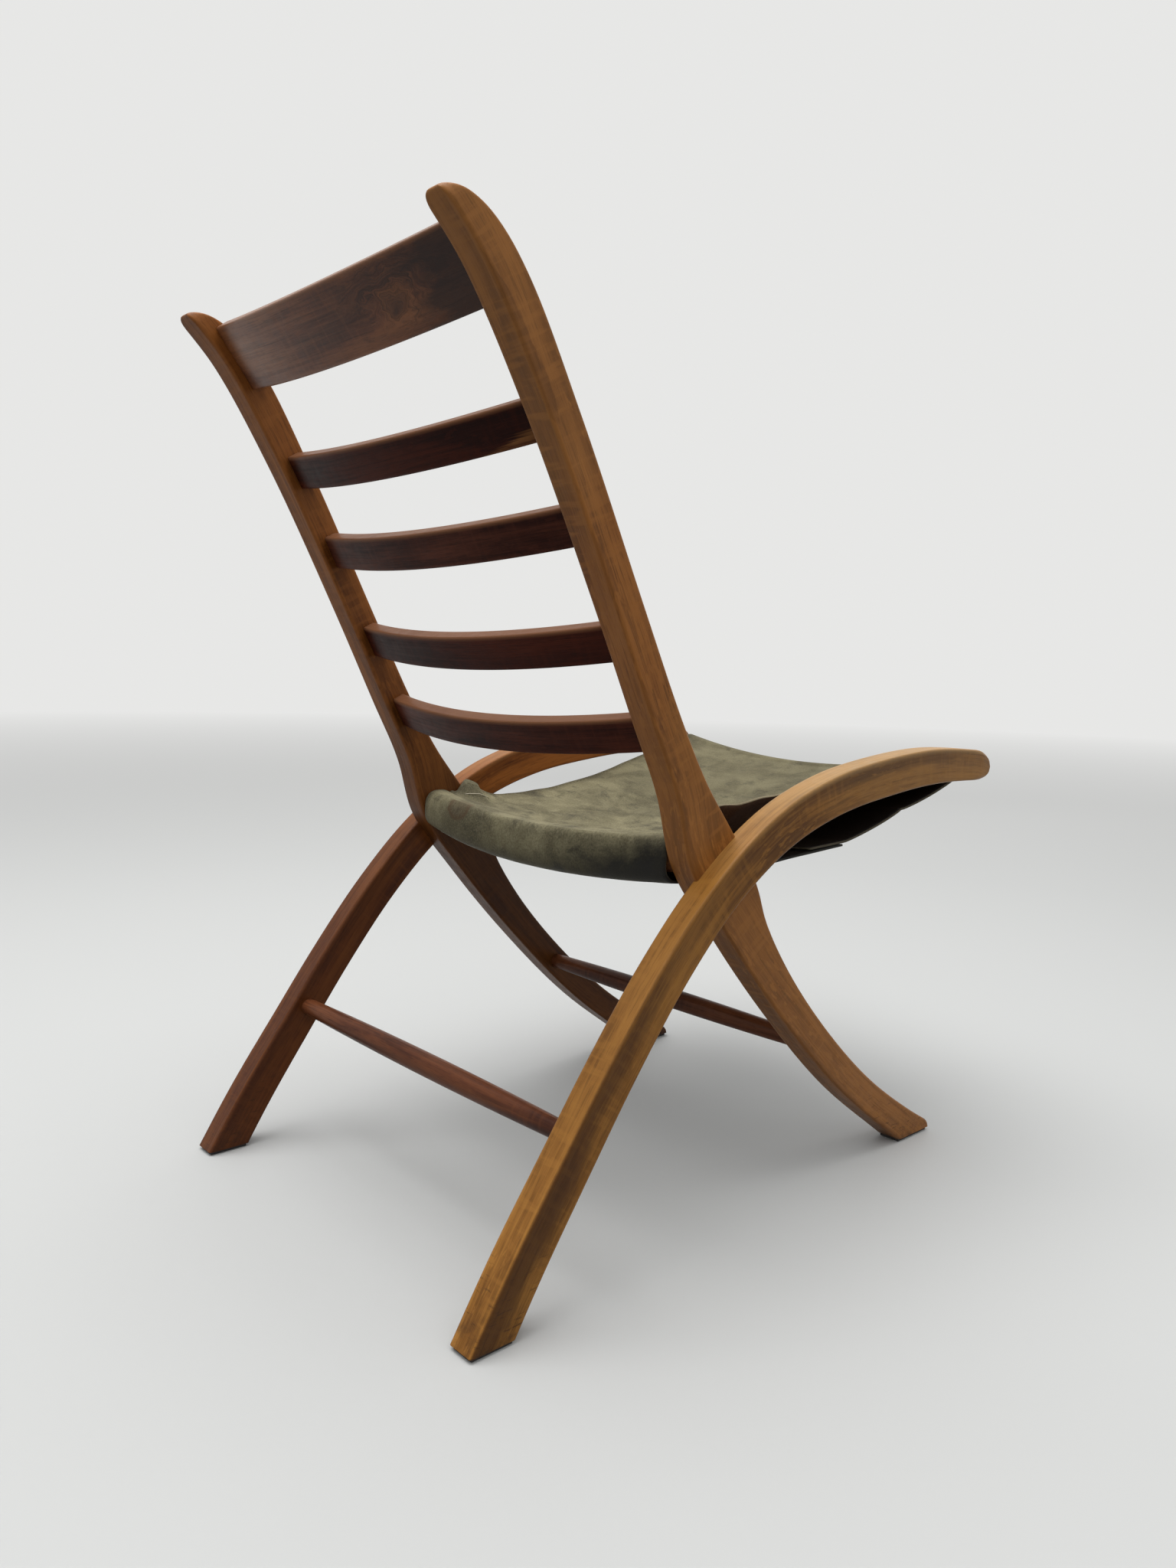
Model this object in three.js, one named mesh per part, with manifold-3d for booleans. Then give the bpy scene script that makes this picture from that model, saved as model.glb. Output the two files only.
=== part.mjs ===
// A lounge chair with a fixed X frame, a ladder back of bowed slats and a wrapped suede sling seat.
// Millimetres, +Z up. The sitter looks along -Y and the sitter's left is +X.
// Side outlines are drawn with "reach", measured forward from the heel of the back foot, and height.

import * as THREE from 'three';
import { mergeVertices } from 'three/addons/utils/BufferGeometryUtils.js';
import Module from 'manifold-3d';

const wasm = await Module();
wasm.setup();

// Overall sizes
const overallWidth = 520;
const archReach = 740;
const archRise = 446;
const postHeight = 894;
const legReach = 678;

// Frame stock and joinery
const archThickness = 30;
const uprightThickness = 30;
const archWidth = 39;
const housingDepth = 6.5;
const fit = 0.3;
const edgeEase = 3.2;
const cutOverrun = 20;
const boreStart = 1;
const crownRound = 26;
const noseRound = 10;
const crownShare = 0.6;

// Back slats: the height of each slat's middle as a share of the post's height, and its size
const crestShare = 0.9547;
const slatShares = [0.8356, 0.745, 0.6365, 0.5447];
const crestWidth = 68;
const slatWidth = 36;
const crestThickness = 18;
const slatThickness = 16.5;
const slatInset = 10.5;
const slatBow = 27;
const crestLean = THREE.MathUtils.degToRad(36.5);
const slatEase = 2.4;
const tenonThickness = 8;
const tenonShoulder = 6;
const tenonLength = 16;

// Stretchers
const stretcherMiddleRadius = 11.8;
const stretcherEndRadius = 9;
const stretcherTenonRadius = 6;
const stretcherTenonLength = 14;
const rearStretcherHeight = 145;
const frontStretcherHeight = 147;

// Seat rails
const rearRailReach = 260;
const rearRailHeight = 372;
const rearRailDepth = 34;
const rearRailTall = 36;
const rearRailBow = 23;
const rearRailDroop = 12;
const frontRailReach = 719;
const frontRailHeight = 437;
const frontRailDepth = 18;
const frontRailTall = 22;
const frontRailDip = 27;
const rearRailTenonDepth = 14;
const rearRailTenonTall = 22;
const frontRailTenonDepth = 9;
const frontRailTenonTall = 10;
const railTenonLength = 15;

// Sling
const hideThickness = 2.4;
const hideClearance = 0.9;
const rollSideGap = 2;
const hemSideGap = 11;
const leftHemSag = 27;
const middleSag = 36;
const rightHemLift = 22;
const leftCornerLift = 12;
const hemCurlWidth = 46;
const underSag = 10;
const rearFlapReach = 498;
const frontFlapReach = 440;
const flapDrop = 10;
const flapGap = 1;
const topWidening = 313;
const underWidening = 352;
const hemTransition = 11;

// Feet and hidden pins
const padThickness = 4;
const padInset = 2.5;
const pinRadius = 5;
const pinLength = 32;
const pinReach = 281;
const pinHeight = 357;

// Colours read from the photograph
const paleWood = new THREE.MeshStandardMaterial({ color: 0x9a6236, roughness: 0.45, metalness: 0 });
const darkWood = new THREE.MeshStandardMaterial({ color: 0x552a1e, roughness: 0.38, metalness: 0 });
const redWood = new THREE.MeshStandardMaterial({ color: 0x6e3a24, roughness: 0.42, metalness: 0 });
const plainWood = new THREE.MeshStandardMaterial({ color: 0x8a5a34, roughness: 0.6, metalness: 0 });
const suede = new THREE.MeshStandardMaterial({ color: 0x5c5a44, roughness: 0.92, metalness: 0 });
const feltBlack = new THREE.MeshStandardMaterial({ color: 0x1a1918, roughness: 0.9, metalness: 0 });

const halfWidth = overallWidth / 2;
const archInner = halfWidth - archThickness;
const uprightOuter = archInner + housingDepth;
const uprightInner = uprightOuter - uprightThickness;

// Side outlines. Each row is a place along the piece: reach share, height share.
const archSpineShares = [
  [-0.027, -0.067], [0.04, 0.112], [0.111, 0.28], [0.184, 0.448], [0.266, 0.616], [0.358, 0.765],
  [0.466, 0.881], [0.581, 0.947], [0.703, 0.98], [0.824, 0.997], [0.932, 0.994], [1, 0.986],
];
const archWidthShares = [1.03, 1.01, 0.98, 0.97, 0.97, 0.99, 1.04, 1.06, 1.06, 1.02, 0.93, 0.88];
const backEdgeShares = [
  [-0.072, 0.997], [-0.013, 0.951], [0.081, 0.839], [0.198, 0.671], [0.271, 0.559],
  [0.322, 0.481], [0.354, 0.405], [0.437, 0.324], [0.563, 0.218], [0.725, 0.101], [0.922, -0.009],
];
const frontEdgeShares = [
  [-0.05, 1], [-0.006, 0.99], [0.047, 0.951], [0.135, 0.839], [0.25, 0.671], [0.328, 0.559],
  [0.379, 0.496], [0.428, 0.449], [0.468, 0.41], [0.497, 0.375], [0.518, 0.336], [0.58, 0.268],
  [0.681, 0.185], [0.808, 0.101], [0.94, 0.034], [1, 0.008],
];
const archSteps = 40;
const edgeSteps = 44;

const splineOf = (shares, reach, height) => new THREE.CatmullRomCurve3(
  shares.map(([along, up]) => new THREE.Vector3(along * reach, up * height, 0)),
  false,
  'centripetal',
);
const archSpine = splineOf(archSpineShares, archReach, archRise);
const backEdge = splineOf(backEdgeShares, legReach, postHeight);
const frontEdge = splineOf(frontEdgeShares, legReach, postHeight);

// Between the rows of a table of shares, read at 0 to 1 along it
function readShares(table, along) {
  const place = along * (table.length - 1);
  const row = Math.min(Math.floor(place), table.length - 2);
  return THREE.MathUtils.lerp(table[row], table[row + 1], place - row);
}

// The arch is a band of varying width along its spine, with a rounded front end
function archShape() {
  const top = [];
  const bottom = [];
  for (let i = 0; i <= archSteps; i += 1) {
    const along = i / archSteps;
    const point = archSpine.getPoint(along);
    const tangent = archSpine.getTangent(along);
    const half = archWidth * readShares(archWidthShares, along) / 2;
    top.push(new THREE.Vector2(point.x - tangent.y * half, point.y + tangent.x * half));
    bottom.push(new THREE.Vector2(point.x + tangent.y * half, point.y - tangent.x * half));
  }
  const topEnd = top.at(-1);
  const bottomEnd = bottom.at(-1);
  const keptTop = top.filter((point) => point.distanceTo(topEnd) > crownRound);
  const keptBottom = bottom.filter((point) => point.distanceTo(bottomEnd) > noseRound);
  const shape = new THREE.Shape(keptTop);
  const face = bottomEnd.clone().sub(topEnd).normalize();
  const crownFoot = topEnd.clone().addScaledVector(face, crownRound * crownShare);
  const noseHead = bottomEnd.clone().addScaledVector(face, -noseRound);
  shape.quadraticCurveTo(topEnd.x, topEnd.y, crownFoot.x, crownFoot.y);
  shape.lineTo(noseHead.x, noseHead.y);
  shape.quadraticCurveTo(bottomEnd.x, bottomEnd.y, keptBottom.at(-1).x, keptBottom.at(-1).y);
  keptBottom.reverse().slice(1).forEach((point) => shape.lineTo(point.x, point.y));
  return shape;
}

// The upright is the back post and the front leg in one board, between a back and a front edge
function uprightShape() {
  const back = backEdge.getSpacedPoints(edgeSteps);
  const front = frontEdge.getSpacedPoints(edgeSteps);
  const toe = front.at(-1);
  const shape = new THREE.Shape(front.map((point) => new THREE.Vector2(point.x, point.y)));
  shape.lineTo(toe.x, -cutOverrun);
  shape.lineTo(back.at(-1).x, -cutOverrun);
  back.reverse().forEach((point) => shape.lineTo(point.x, point.y));
  return shape;
}

// A board cut to a side outline, with eased edges, standing at a distance from the chair's middle
function board(shape, thickness, middle, grow = 0) {
  const geometry = new THREE.ExtrudeGeometry(shape, {
    depth: thickness + 2 * grow - 2 * edgeEase,
    bevelEnabled: true,
    bevelThickness: edgeEase,
    bevelSize: edgeEase,
    bevelOffset: grow - edgeEase,
    bevelSegments: 2,
    curveSegments: 6,
  });
  geometry.translate(0, 0, edgeEase - grow - thickness / 2);
  geometry.applyMatrix4(sideToChair);
  geometry.translate(middle, 0, 0);
  return geometry;
}

// Turns a side outline (reach, height) into the chair's frame
const sideToChair = new THREE.Matrix4().makeBasis(
  new THREE.Vector3(0, -1, 0),
  new THREE.Vector3(0, 0, 1),
  new THREE.Vector3(-1, 0, 0),
);

function toSolid(geometry) {
  const bare = geometry.clone();
  bare.deleteAttribute('normal');
  bare.deleteAttribute('uv');
  const merged = mergeVertices(bare);
  return new wasm.Manifold(new wasm.Mesh({
    numProp: 3,
    vertProperties: new Float32Array(merged.attributes.position.array),
    triVerts: new Uint32Array(merged.index.array),
  }));
}

function toGeometry(solid) {
  const mesh = solid.getMesh();
  const geometry = new THREE.BufferGeometry();
  geometry.setAttribute('position', new THREE.Float32BufferAttribute(mesh.vertProperties, 3));
  geometry.setIndex(Array.from(mesh.triVerts));
  geometry.computeVertexNormals();
  return geometry;
}

// A block given by its size and its middle
function block(size, middle) {
  const geometry = new THREE.BoxGeometry(size.x, size.y, size.z);
  geometry.translate(middle.x, middle.y, middle.z);
  return geometry;
}

const roundSides = 20;

// A round bar along X given by its radius, its two ends and its middle line
function bar(radius, from, to, reach, height) {
  const geometry = new THREE.CylinderGeometry(radius, radius, Math.abs(to - from), roundSides);
  geometry.rotateZ(Math.PI / 2);
  geometry.translate((from + to) / 2, -reach, height);
  return geometry;
}

const aboveFloor = toSolid(block(
  new THREE.Vector3(2 * overallWidth, 2 * postHeight + archReach, 2 * postHeight),
  new THREE.Vector3(0, 0, postHeight),
));

// A closed body through rings of points; endFaces gives the triangles that close a ring
function ringBody(rings, endFaces) {
  const size = rings[0].length;
  const positions = rings.flat().flatMap((point) => [point.x, point.y, point.z]);
  const index = [];
  for (let r = 0; r < rings.length - 1; r += 1) {
    for (let i = 0; i < size; i += 1) {
      const a = r * size + i;
      const b = r * size + ((i + 1) % size);
      index.push(a, b, a + size, b, b + size, a + size);
    }
  }
  const last = (rings.length - 1) * size;
  endFaces(size).forEach(([a, b, c]) => {
    index.push(a, c, b);
    index.push(last + a, last + b, last + c);
  });
  const geometry = new THREE.BufferGeometry();
  geometry.setAttribute('position', new THREE.Float32BufferAttribute(positions, 3));
  geometry.setIndex(index);
  return geometry;
}

// Closes a rounded ring
function fanFaces(size) {
  const faces = [];
  for (let i = 1; i < size - 1; i += 1) faces.push([0, i, i + 1]);
  return faces;
}

// Closes a ring whose two halves run side by side
function bandFaces(size) {
  const faces = [];
  for (let i = 0; i < size / 2 - 1; i += 1) {
    const facing = size - 1 - i;
    faces.push([i, i + 1, facing], [i + 1, facing - 1, facing]);
  }
  return faces;
}

// Rounded section of a seat rail, at an angle round its middle
const sectionPower = 2 / 2.8;
function sectionPoint(angle, depth, tall) {
  const c = Math.cos(angle);
  const s = Math.sin(angle);
  return new THREE.Vector2(
    Math.sign(c) * Math.abs(c) ** sectionPower * depth / 2,
    Math.sign(s) * Math.abs(s) ** sectionPower * tall / 2,
  );
}

// How much of a bow is there at a place across, 1 in the middle and 0 at the ends
const bowShare = (across, half) => 1 - (across / half) ** 2;

const rearRailLine = (across) => new THREE.Vector2(
  rearRailReach - rearRailBow * bowShare(across, uprightInner),
  rearRailHeight - rearRailDroop * bowShare(across, uprightInner),
);
const frontRailLine = (across) => new THREE.Vector2(
  frontRailReach,
  frontRailHeight - frontRailDip * bowShare(across, archInner),
);

// A seat rail: its section swept along its bowed line, with a stub tenon at each end
const railSides = 16;
const railStations = 12;
function seatRail(line, half, depth, tall) {
  const rings = [];
  for (let i = 0; i <= railStations; i += 1) {
    const across = THREE.MathUtils.lerp(-half + fit, half - fit, i / railStations);
    const middle = line(across);
    const ring = [];
    for (let k = 0; k < railSides; k += 1) {
      const point = sectionPoint(k * 2 * Math.PI / railSides, depth, tall);
      ring.push(new THREE.Vector3(across, -(middle.x + point.x), middle.y + point.y));
    }
    rings.push(ring.reverse());
  }
  return toSolid(ringBody(rings, fanFaces));
}

function railTenons(line, half, depth, tall, grow = 0) {
  const tenons = [-1, 1].map((side) => {
    const middle = line(side * half);
    const from = half - 2 * fit - (grow > 0 ? 0 : cutOverrun / 2);
    const to = half + railTenonLength + grow;
    return toSolid(block(
      new THREE.Vector3(to - from, depth + 2 * grow, tall + 2 * grow),
      new THREE.Vector3(side * (from + to) / 2, -middle.x, middle.y),
    ));
  });
  return tenons;
}

// The place along a curve, between two shares of it, where a falling measure reaches a level
const halvings = 30;
function shareAtLevel(measure, level, from, to) {
  let low = from;
  let high = to;
  for (let i = 0; i < halvings; i += 1) {
    const middle = (low + high) / 2;
    if (measure(middle) > level) low = middle;
    else high = middle;
  }
  return low;
}

// Where each slat sits: set in from the post's back edge, at its height, leaning with the post
function slatSeatAt(along) {
  const point = backEdge.getPoint(along);
  const tangent = backEdge.getTangent(along);
  return {
    reach: point.x - tangent.y * slatInset,
    height: point.y + tangent.x * slatInset,
    lean: Math.atan2(tangent.x, -tangent.y),
  };
}
const postShare = 0.6;
const legShare = 0.5;
const slatSeat = (height) => slatSeatAt(
  shareAtLevel((along) => slatSeatAt(along).height, height, 0, postShare),
);

// A bowed slat in its own frame: X across, Y towards the back, Z up the slat
function slatSolid(width, thickness) {
  const half = uprightInner + cutOverrun;
  const over = slatBow * ((half / uprightInner) ** 2 - 1);
  const plan = new THREE.Shape();
  plan.moveTo(-half, -over);
  plan.quadraticCurveTo(0, 2 * slatBow + over, half, -over);
  plan.lineTo(half, -over - thickness);
  plan.quadraticCurveTo(0, 2 * slatBow + over - thickness, -half, -over - thickness);
  const geometry = new THREE.ExtrudeGeometry(plan, {
    depth: width - 2 * slatEase,
    bevelEnabled: true,
    bevelThickness: slatEase,
    bevelSize: slatEase,
    bevelOffset: -slatEase,
    bevelSegments: 2,
    curveSegments: 16,
  });
  geometry.translate(0, 0, slatEase - width / 2);
  const between = block(
    new THREE.Vector3(2 * (uprightInner - fit), 4 * half, 4 * width),
    new THREE.Vector3(0, 0, 0),
  );
  return toSolid(geometry).intersect(toSolid(between));
}

function slatTenons(width, thickness, grow = 0) {
  return [-1, 1].map((side) => {
    const from = uprightInner - (grow > 0 ? 2 * fit : cutOverrun / 2);
    const to = uprightInner + tenonLength + grow;
    return block(
      new THREE.Vector3(to - from, tenonThickness + 2 * grow, width - 2 * tenonShoulder + 2 * grow),
      new THREE.Vector3(side * (from + to) / 2, -thickness / 2, 0),
    );
  });
}

const slats = [
  { name: 'crest_slat', height: crestShare * postHeight, width: crestWidth, thickness: crestThickness },
  ...slatShares.map((share, i) => ({
    name: `back_slat_${i + 1}`,
    height: share * postHeight,
    width: slatWidth,
    thickness: slatThickness,
  })),
].map((slat, i) => {
  const seat = slatSeat(slat.height);
  const lean = i === 0 ? crestLean : seat.lean;
  const placement = new THREE.Matrix4().makeRotationX(-lean);
  placement.setPosition(0, -seat.reach, seat.height);
  return { ...slat, ...seat, lean, placement };
});

// Stretchers sit in the middle of the members that carry them, at their height
const reachAt = (curve, height, from, to) => curve.getPoint(shareAtLevel(
  (along) => curve.getPoint(along).y, height, from, to,
)).x;
const rearStretcherReach = reachAt(archSpine, rearStretcherHeight, legShare, 0);
const frontStretcherReach = (
  reachAt(backEdge, frontStretcherHeight, legShare, 1)
  + reachAt(frontEdge, frontStretcherHeight, legShare, 1)
) / 2;

// A turned stretcher: fullest in the middle, with a stub tenon at each end
const swellSteps = 10;
const swellPower = 0.8;
function stretcherGeometry(half) {
  const body = half - fit;
  const end = half + stretcherTenonLength;
  const profile = [new THREE.Vector2(0, -end), new THREE.Vector2(stretcherTenonRadius, -end)];
  profile.push(new THREE.Vector2(stretcherTenonRadius, -body));
  for (let i = 0; i <= swellSteps; i += 1) {
    const swell = Math.sin(i / swellSteps * Math.PI) ** swellPower;
    profile.push(new THREE.Vector2(
      THREE.MathUtils.lerp(stretcherEndRadius, stretcherMiddleRadius, swell),
      THREE.MathUtils.lerp(-body, body, i / swellSteps),
    ));
  }
  profile.push(new THREE.Vector2(stretcherTenonRadius, body));
  profile.push(new THREE.Vector2(stretcherTenonRadius, end), new THREE.Vector2(0, end));
  const geometry = new THREE.LatheGeometry(profile, roundSides);
  geometry.rotateZ(-Math.PI / 2);
  return geometry;
}

// The sling's path at one place across, as the middle of the hide's thickness.
// It runs from the rear flap's end under the seat, round the rear rail, over the seat,
// round the front rail and back under the seat to the front flap's end.
const quarterTurn = Math.PI / 2;
const rollSteps = 10;
const seatSteps = 13;
const seatSpacing = 1.25;
const underSteps = 5;
const wrapOffset = hideThickness / 2 + hideClearance;

function railWrap(middle, depth, tall, startAngle, endAngle) {
  const points = [];
  for (let i = 0; i <= rollSteps; i += 1) {
    const angle = THREE.MathUtils.lerp(startAngle, endAngle, i / rollSteps);
    const point = sectionPoint(angle, depth + 2 * wrapOffset, tall + 2 * wrapOffset);
    points.push(point.add(middle));
  }
  return points;
}

// How far the seat hangs below the straight line between the rails, from 0 to 1 along it
const hangPower = 0.8;
const hangShare = (along) => Math.sin(Math.PI * along ** hangPower);

// The right hem is curled up and nearly straight, the left hem is slack
const cornerShare = 0.16;
const curlFadeShare = 0.35;
function seatDrop(acrossShare, along, across, halfWide) {
  const leftward = (acrossShare + 1) / 2;
  const hemSag = THREE.MathUtils.lerp(0, leftHemSag, leftward);
  const sag = hemSag + (middleSag - hemSag) * (1 - acrossShare ** 2);
  const toRightHem = Math.max(0, 1 - (across + halfWide) / hemCurlWidth);
  const toLeftHem = Math.max(0, 1 - (halfWide - across) / hemCurlWidth);
  const nearCorner = Math.max(0, 1 - along / cornerShare);
  const lift = rightHemLift * toRightHem ** 2 * Math.min(1, (1 - along) / curlFadeShare)
    + leftCornerLift * toLeftHem ** 2 * nearCorner;
  return sag * hangShare(along) - lift;
}

const rollHalf = uprightInner - rollSideGap;
const hemHalf = archInner - hemSideGap;

function slingSection(acrossShare) {
  const across = acrossShare * rollHalf;
  const rear = rearRailLine(across);
  const front = frontRailLine(acrossShare * hemHalf);
  const hang = bowShare(acrossShare, 1);
  const rearWrap = railWrap(rear, rearRailDepth, rearRailTall, 3 * quarterTurn, quarterTurn / 2);
  const frontWrap = railWrap(front, frontRailDepth, frontRailTall, 3 * quarterTurn / 2, -quarterTurn);
  const rearBottom = rearWrap[0];
  const frontBottom = frontWrap.at(-1);
  const flapSpacing = hideThickness + flapGap;
  const meetHeight = rearRailHeight - rearRailTall / 2 + flapDrop - underSag * hang;
  const rearEnd = new THREE.Vector2(rearFlapReach, meetHeight - flapSpacing);
  const frontMeet = new THREE.Vector2(rearFlapReach, meetHeight);
  const frontEnd = new THREE.Vector2(
    frontFlapReach,
    meetHeight + (rearBottom.y - rearEnd.y)
      * (rearFlapReach - frontFlapReach) / (rearFlapReach - rearBottom.x),
  );
  const path = [];
  for (let i = 0; i < 2 * underSteps; i += 1) {
    path.push(rearEnd.clone().lerp(rearBottom, i / (2 * underSteps)));
  }
  path.push(...rearWrap);
  const rearTop = rearWrap.at(-1);
  const frontTop = frontWrap[0];
  for (let i = 1; i < seatSteps; i += 1) {
    const along = (i / seatSteps) ** seatSpacing;
    const point = rearTop.clone().lerp(frontTop, along);
    point.y -= seatDrop(acrossShare, along, across, rollHalf);
    path.push(point);
  }
  path.push(...frontWrap);
  for (let i = 1; i <= underSteps; i += 1) {
    path.push(frontBottom.clone().lerp(frontMeet, i / underSteps));
  }
  path.push(frontMeet.clone().lerp(frontEnd, 0.5), frontEnd);
  return path;
}

const underShare = 0.3;

// The hide is narrow between the uprights and widens in front of them, above and below
function slingHalfAt(point, index, count) {
  const isTop = index > count * underShare;
  const start = isTop ? topWidening : underWidening;
  const widening = THREE.MathUtils.smoothstep(point.x, start, start + hemTransition);
  return THREE.MathUtils.lerp(rollHalf, hemHalf, widening);
}

const slingStations = 11;
function slingGeometry() {
  const rings = [];
  for (let s = 0; s <= slingStations; s += 1) {
    const acrossShare = Math.sin((s / slingStations - 0.5) * Math.PI);
    const path = slingSection(acrossShare);
    const outer = [];
    const inner = [];
    path.forEach((point, i) => {
      const before = path[Math.max(0, i - 1)];
      const after = path[Math.min(path.length - 1, i + 1)];
      const along = after.clone().sub(before).normalize();
      const across = acrossShare * slingHalfAt(point, i, path.length);
      const offset = new THREE.Vector2(along.y, -along.x).multiplyScalar(hideThickness / 2);
      const a = point.clone().add(offset);
      const b = point.clone().sub(offset);
      outer.push(new THREE.Vector3(across, -a.x, a.y));
      inner.push(new THREE.Vector3(across, -b.x, b.y));
    });
    rings.push([...inner, ...outer.reverse()]);
  }
  return ringBody(rings, bandFaces);
}

// Boards, with their joints cut
const uprightMiddle = uprightOuter - uprightThickness / 2;
const archMiddle = halfWidth - archThickness / 2;
const rearRailTenon = [rearRailTenonDepth, rearRailTenonTall];
const frontRailTenon = [frontRailTenonDepth, frontRailTenonTall];

function sideBoards(side) {
  const pinHole = toSolid(bar(
    pinRadius + fit,
    side * (uprightOuter - pinLength / 2 - fit),
    side * (uprightOuter + pinLength / 2 + fit),
    pinReach,
    pinHeight,
  ));
  const end = side > 0 ? 1 : 0;
  let upright = toSolid(board(uprightShape(), uprightThickness, side * uprightMiddle));
  upright = upright.intersect(aboveFloor);
  slats.forEach((slat) => {
    const tenon = slatTenons(slat.width, slat.thickness, fit)[end];
    upright = upright.subtract(toSolid(tenon.applyMatrix4(slat.placement)));
  });
  upright = upright.subtract(railTenons(rearRailLine, uprightInner, ...rearRailTenon, fit)[end]);
  upright = upright.subtract(toSolid(bar(
    stretcherTenonRadius + fit,
    side * (uprightInner - boreStart),
    side * (uprightInner + stretcherTenonLength + fit),
    frontStretcherReach,
    frontStretcherHeight,
  )));
  upright = upright.subtract(pinHole);
  let arch = toSolid(board(archShape(), archThickness, side * archMiddle));
  arch = arch.intersect(aboveFloor);
  arch = arch.subtract(toSolid(board(uprightShape(), uprightThickness, side * uprightMiddle, fit)));
  arch = arch.subtract(railTenons(frontRailLine, archInner, ...frontRailTenon, fit)[end]);
  arch = arch.subtract(toSolid(bar(
    stretcherTenonRadius + fit,
    side * (archInner - boreStart),
    side * (archInner + stretcherTenonLength + fit),
    rearStretcherReach,
    rearStretcherHeight,
  )));
  arch = arch.subtract(pinHole);
  return { upright, arch };
}

const chair = new THREE.Group();
chair.name = 'x_frame_lounge_chair';
const frame = new THREE.Group();
chair.add(frame);

function addPiece(name, geometry, material, place = new THREE.Vector3(), lean = 0) {
  const mesh = new THREE.Mesh(geometry, material);
  mesh.name = name;
  mesh.position.copy(place);
  mesh.rotation.x = lean;
  frame.add(mesh);
  return mesh;
}

// A thin pad under a board's foot, a little smaller than the sole
function footPad(boardGeometry, middle) {
  const position = boardGeometry.attributes.position;
  const sole = new THREE.Box3();
  for (let i = 0; i < position.count; i += 1) {
    const point = new THREE.Vector3().fromBufferAttribute(position, i);
    if (Math.abs(point.z) < fit) sole.expandByPoint(point);
  }
  const size = sole.getSize(new THREE.Vector3());
  const geometry = new THREE.BoxGeometry(
    size.x - 2 * padInset,
    size.y - 2 * padInset,
    padThickness - fit,
  );
  const place = sole.getCenter(new THREE.Vector3()).setX(middle);
  place.z = -(padThickness + fit) / 2;
  return { geometry, place };
}

for (const [side, word] of [[-1, 'right'], [1, 'left']]) {
  const { upright, arch } = sideBoards(side);
  const uprightGeometry = toGeometry(upright);
  const archGeometry = toGeometry(arch);
  addPiece(`${word}_arch`, archGeometry, paleWood);
  addPiece(`${word}_upright`, uprightGeometry, paleWood);
  const rearPad = footPad(archGeometry, side * archMiddle);
  addPiece(`${word}_rear_foot_pad`, rearPad.geometry, feltBlack, rearPad.place);
  const frontPad = footPad(uprightGeometry, side * uprightMiddle);
  addPiece(`${word}_front_foot_pad`, frontPad.geometry, feltBlack, frontPad.place);
  const pin = new THREE.CylinderGeometry(pinRadius, pinRadius, pinLength, roundSides);
  pin.rotateZ(Math.PI / 2);
  const pinPlace = new THREE.Vector3(side * uprightOuter, -pinReach, pinHeight);
  addPiece(`${word}_lap_pin`, pin, plainWood, pinPlace);
}

slats.forEach((slat) => {
  let solid = slatSolid(slat.width, slat.thickness);
  slatTenons(slat.width, slat.thickness).forEach((tenon) => {
    solid = solid.add(toSolid(tenon));
  });
  const place = new THREE.Vector3(0, -slat.reach, slat.height);
  addPiece(slat.name, toGeometry(solid), darkWood, place, -slat.lean);
});

const rearStretcherPlace = new THREE.Vector3(0, -rearStretcherReach, rearStretcherHeight);
addPiece('rear_stretcher', stretcherGeometry(archInner), redWood, rearStretcherPlace);
const frontStretcherPlace = new THREE.Vector3(0, -frontStretcherReach, frontStretcherHeight);
addPiece('front_stretcher', stretcherGeometry(uprightInner), redWood, frontStretcherPlace);

function railGeometry(line, half, depth, tall, tenon) {
  let solid = seatRail(line, half, depth, tall);
  railTenons(line, half, ...tenon).forEach((end) => {
    solid = solid.add(end);
  });
  return toGeometry(solid);
}
addPiece('rear_seat_rail', railGeometry(
  rearRailLine, uprightInner, rearRailDepth, rearRailTall, rearRailTenon,
), plainWood);
addPiece('front_seat_rail', railGeometry(
  frontRailLine, archInner, frontRailDepth, frontRailTall, frontRailTenon,
), plainWood);
addPiece('seat_sling', slingGeometry(), suede);

// The chair stands on its pads, with its origin under the middle of its outline
frame.updateMatrixWorld(true);
const outline = new THREE.Box3().setFromObject(frame, true);
const centre = outline.getCenter(new THREE.Vector3());
frame.position.set(-centre.x, -centre.y, -outline.min.z);

export default chair;
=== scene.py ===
import bpy
import bmesh
import math
from mathutils import Matrix, Vector, noise


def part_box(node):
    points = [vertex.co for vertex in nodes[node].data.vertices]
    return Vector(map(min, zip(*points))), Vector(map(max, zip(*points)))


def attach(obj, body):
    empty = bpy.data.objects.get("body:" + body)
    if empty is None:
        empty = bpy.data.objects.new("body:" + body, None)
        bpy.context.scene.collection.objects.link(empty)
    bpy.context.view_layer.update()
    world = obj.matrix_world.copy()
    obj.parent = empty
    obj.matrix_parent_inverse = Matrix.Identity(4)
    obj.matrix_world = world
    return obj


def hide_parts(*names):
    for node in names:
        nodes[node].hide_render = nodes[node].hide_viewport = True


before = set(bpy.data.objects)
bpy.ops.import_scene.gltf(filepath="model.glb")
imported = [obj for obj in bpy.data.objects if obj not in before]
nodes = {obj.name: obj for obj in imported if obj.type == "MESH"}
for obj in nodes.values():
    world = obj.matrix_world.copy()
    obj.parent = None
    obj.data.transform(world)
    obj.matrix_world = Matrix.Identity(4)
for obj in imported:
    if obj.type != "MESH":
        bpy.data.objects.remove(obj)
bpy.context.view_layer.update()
scene = bpy.context.scene
print("frame loaded:", len(nodes), "nodes")

# In metres: how near places of the CAD count as one, and how near corners are joined
tolerance, cadWeld, seamWeld = 0.0001, 0.00002, 0.00001

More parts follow.
